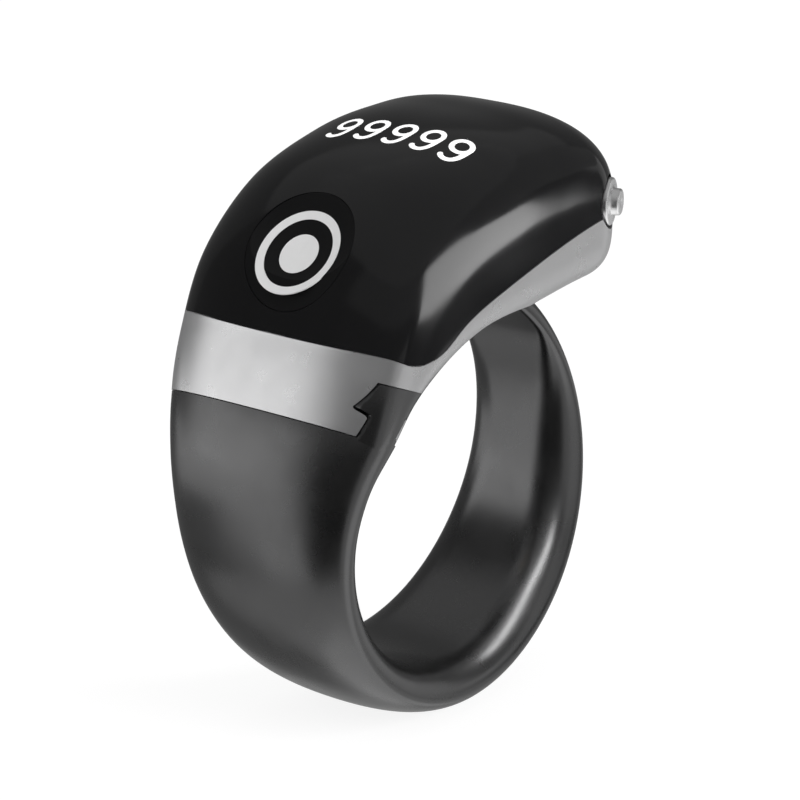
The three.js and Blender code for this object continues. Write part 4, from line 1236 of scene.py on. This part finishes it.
# %% Table
TABLE_HALF = 3.0
TABLE_GAP = 0.02
table_height = cad_box[0][2] - TABLE_GAP * MM
table = mesh_object("table", [
    (-TABLE_HALF, -TABLE_HALF, table_height), (TABLE_HALF, -TABLE_HALF, table_height),
    (TABLE_HALF, TABLE_HALF, table_height), (-TABLE_HALF, TABLE_HALF, table_height),
], [(0, 1, 2, 3)])
table_white = new_material("table_white", (0.8, 0.8, 0.8), 0.0, 0.9)
tree = table_white.node_tree
shader = tree.nodes["Principled BSDF"]
pale = step(tree, "ShaderNodeBsdfDiffuse", {"Color": (0.22, 0.22, 0.22, 1)})
glow = step(tree, "ShaderNodeEmission", {"Color": (1, 1, 1, 1), "Strength": 0.86})
white = step(tree, "ShaderNodeAddShader", {0: pale.outputs[0], 1: glow.outputs[0]})
seen = background_rays(tree)
mix = step(tree, "ShaderNodeMixShader", {0: seen, 1: shader.outputs[0], 2: white.outputs[0]})
tree.links.new(mix.outputs[0], tree.nodes["Material Output"].inputs["Surface"])
table.data.materials.append(table_white)
table.visible_glossy = False

# %% [markdown]
# ## The lamps
#
# Black gloss and bright metal ask for different light, and a photographer would take them in
# separate exposures. Here each lamp names the pieces that it lights. A long slanted softbox on the
# right belongs to the black pieces, which show its reflection as a pale patch. The metals get a
# dim one in its place, a low fill, a window on the left and two narrow strips, which draw the thin
# bright lines on the band's rims. A wide soft lamp on the left lights everything.


# %% Lamps
def direction(azimuth, elevation):
    a, e = math.radians(azimuth), math.radians(elevation)
    return Vector((math.cos(a) * math.cos(e), math.sin(a) * math.cos(e), math.sin(e)))


def soft_lamp(name, azimuth, elevation, distance, size, roll, radiance):
    """A rectangular lamp that looks at the ring from a direction."""
    toward = direction(azimuth, elevation)
    data = bpy.data.lights.new(name, "AREA")
    data.shape = "RECTANGLE"
    data.size, data.size_y = size
    data.energy = radiance * math.pi * size[0] * size[1]
    made = bpy.data.objects.new(name, data)
    turn = toward.to_track_quat("Z", "Y").to_matrix() @ Matrix.Rotation(math.radians(roll), 3, "Z")
    made.matrix_world = Matrix.Translation(toward * distance) @ turn.to_4x4()
    bpy.context.scene.collection.objects.link(made)
    return made


def only_for(lamp, *pieces, spare=False):
    """The lamp lights only these pieces or, with spare, all but these."""
    group = bpy.data.collections.new(lamp.name + "_receivers")
    for piece in pieces:
        group.objects.link(piece)
    if spare:
        for entry in group.collection_objects:
            entry.light_linking.link_state = "EXCLUDE"
    lamp.light_linking.receiver_collection = group


METALS = (housing, side_key, band)
SOFTBOX_DISTANCE = 0.6
SOFTBOX_RADIANCE = 6.5
right_softbox = soft_lamp("right_softbox", 289, 19, SOFTBOX_DISTANCE, (0.73, 0.27), -33, SOFTBOX_RADIANCE)
right_softbox.visible_glossy = False
only_for(right_softbox, housing, side_key, spare=True)
only_for(soft_lamp("right_softbox_dim", 289, 19, 0.5, (0.61, 0.22), -33, 0.5), *METALS)
only_for(soft_lamp("metal_fill", 289, -2, 0.55, (0.89, 0.42), 0, 0.5), *METALS)
only_for(soft_lamp("left_window", 135, 9, 0.6, (0.38, 0.24), 0, 1.15), housing, band)
only_for(soft_lamp("rim_strip", 224, 48, 0.5, (0.11, 0.32), 0, 6.0), band)
only_for(soft_lamp("rim_strip_top", 295, 70, 0.5, (0.50, 0.10), -27, 6.5), band)
soft_lamp("left_softbox", 140, 25, 0.6, (0.55, 0.50), 0, 1.2).visible_glossy = False
print("lamps:", len(bpy.data.lights))

# %% [markdown]
# ## The light tent
#
# Metal and gloss show what stands round them, so grey cards are set up round the ring. Only
# reflections see them. They keep the black cover black and draw the dark bands on the metal. The
# softbox's own reflection is a flat glowing shape too, because its outline on the cover is that of
# a softbox partly hidden by a card.

# %% Cards of the light tent
SOFTBOX_FACE = [(252, 45), (277, 38), (298, 24), (314, 12), (320, -8), (316, -13), (298, -3), (268, 12)]
CARD_DISTANCE = 1.2
CARDS = [  # name, azimuths, elevations, grey
    ("ceiling", (0, 360), (50, 90), 0.34),
    ("behind", (-5, 100), (-8, 37), 0.15),
    ("behind_high", (-5, 100), (37, 50), 0.30),
    ("behind_low", (60, 100), (-62, -8), 0.20),
    ("behind_right_low", (-5, 60), (-62, -8), 0.45),
    ("left", (100, 156), (-1, 50), 0.10),
    ("left_low", (100, 133), (-38, -17), 0.18),
    ("left_under", (100, 156), (-62, -38), 0.62),
    ("camera_side", (156, 250), (24, 50), 0.26),
    ("camera_side_low", (156, 250), (13, 24), 0.12),
    ("front_low", (158, 222), (-40, 13), 0.05),
    ("front_under", (156, 250), (-62, -40), 0.65),
    ("front_right_low", (222, 250), (-40, 13), 0.45),
    ("right", (250, 355), (20, 50), 0.25),
    ("right_low", (250, 328), (-22, 20), 0.09),
    ("right_under", (305, 328), (-45, -22), 0.60),
    ("far_right", (328, 355), (-45, 20), 0.65),
]


def shown_in_reflections(made, grey):
    """The mesh glows, and only reflections see it."""
    paper = bpy.data.materials.new(made.name)
    paper.use_nodes = True
    paper.node_tree.nodes.clear()
    glow = step(paper.node_tree, "ShaderNodeEmission", {"Color": (1, 1, 1, 1), "Strength": grey})
    output = step(paper.node_tree, "ShaderNodeOutputMaterial")
    paper.node_tree.links.new(glow.outputs[0], output.inputs["Surface"])
    made.data.materials.append(paper)
    made.visible_camera = made.visible_diffuse = made.visible_shadow = False
    made.visible_transmission = made.visible_volume_scatter = False
    return made


def card(name, azimuths, elevations, grey, columns=24, rows=12):
    """A curved card round the ring."""
    points = [direction(a, e) * CARD_DISTANCE
              for e in np.linspace(*elevations, rows + 1) for a in np.linspace(*azimuths, columns + 1)]
    row = columns + 1
    faces = [(i * row + j, i * row + j + 1, (i + 1) * row + j + 1, (i + 1) * row + j)
             for i in range(rows) for j in range(columns)]
    return shown_in_reflections(mesh_object("card_" + name, points, faces), grey)


for row in CARDS:
    card(*row)
face_points = [direction(a, e) * SOFTBOX_DISTANCE for a, e in SOFTBOX_FACE]
softbox_face = mesh_object("softbox_face", face_points, [tuple(range(len(face_points)))])
only_for(shown_in_reflections(softbox_face, SOFTBOX_RADIANCE), *METALS, spare=True)
print("cards:", len(CARDS))

# %% Finish
view = bpy.context.scene.view_settings
view.view_transform = "Standard"
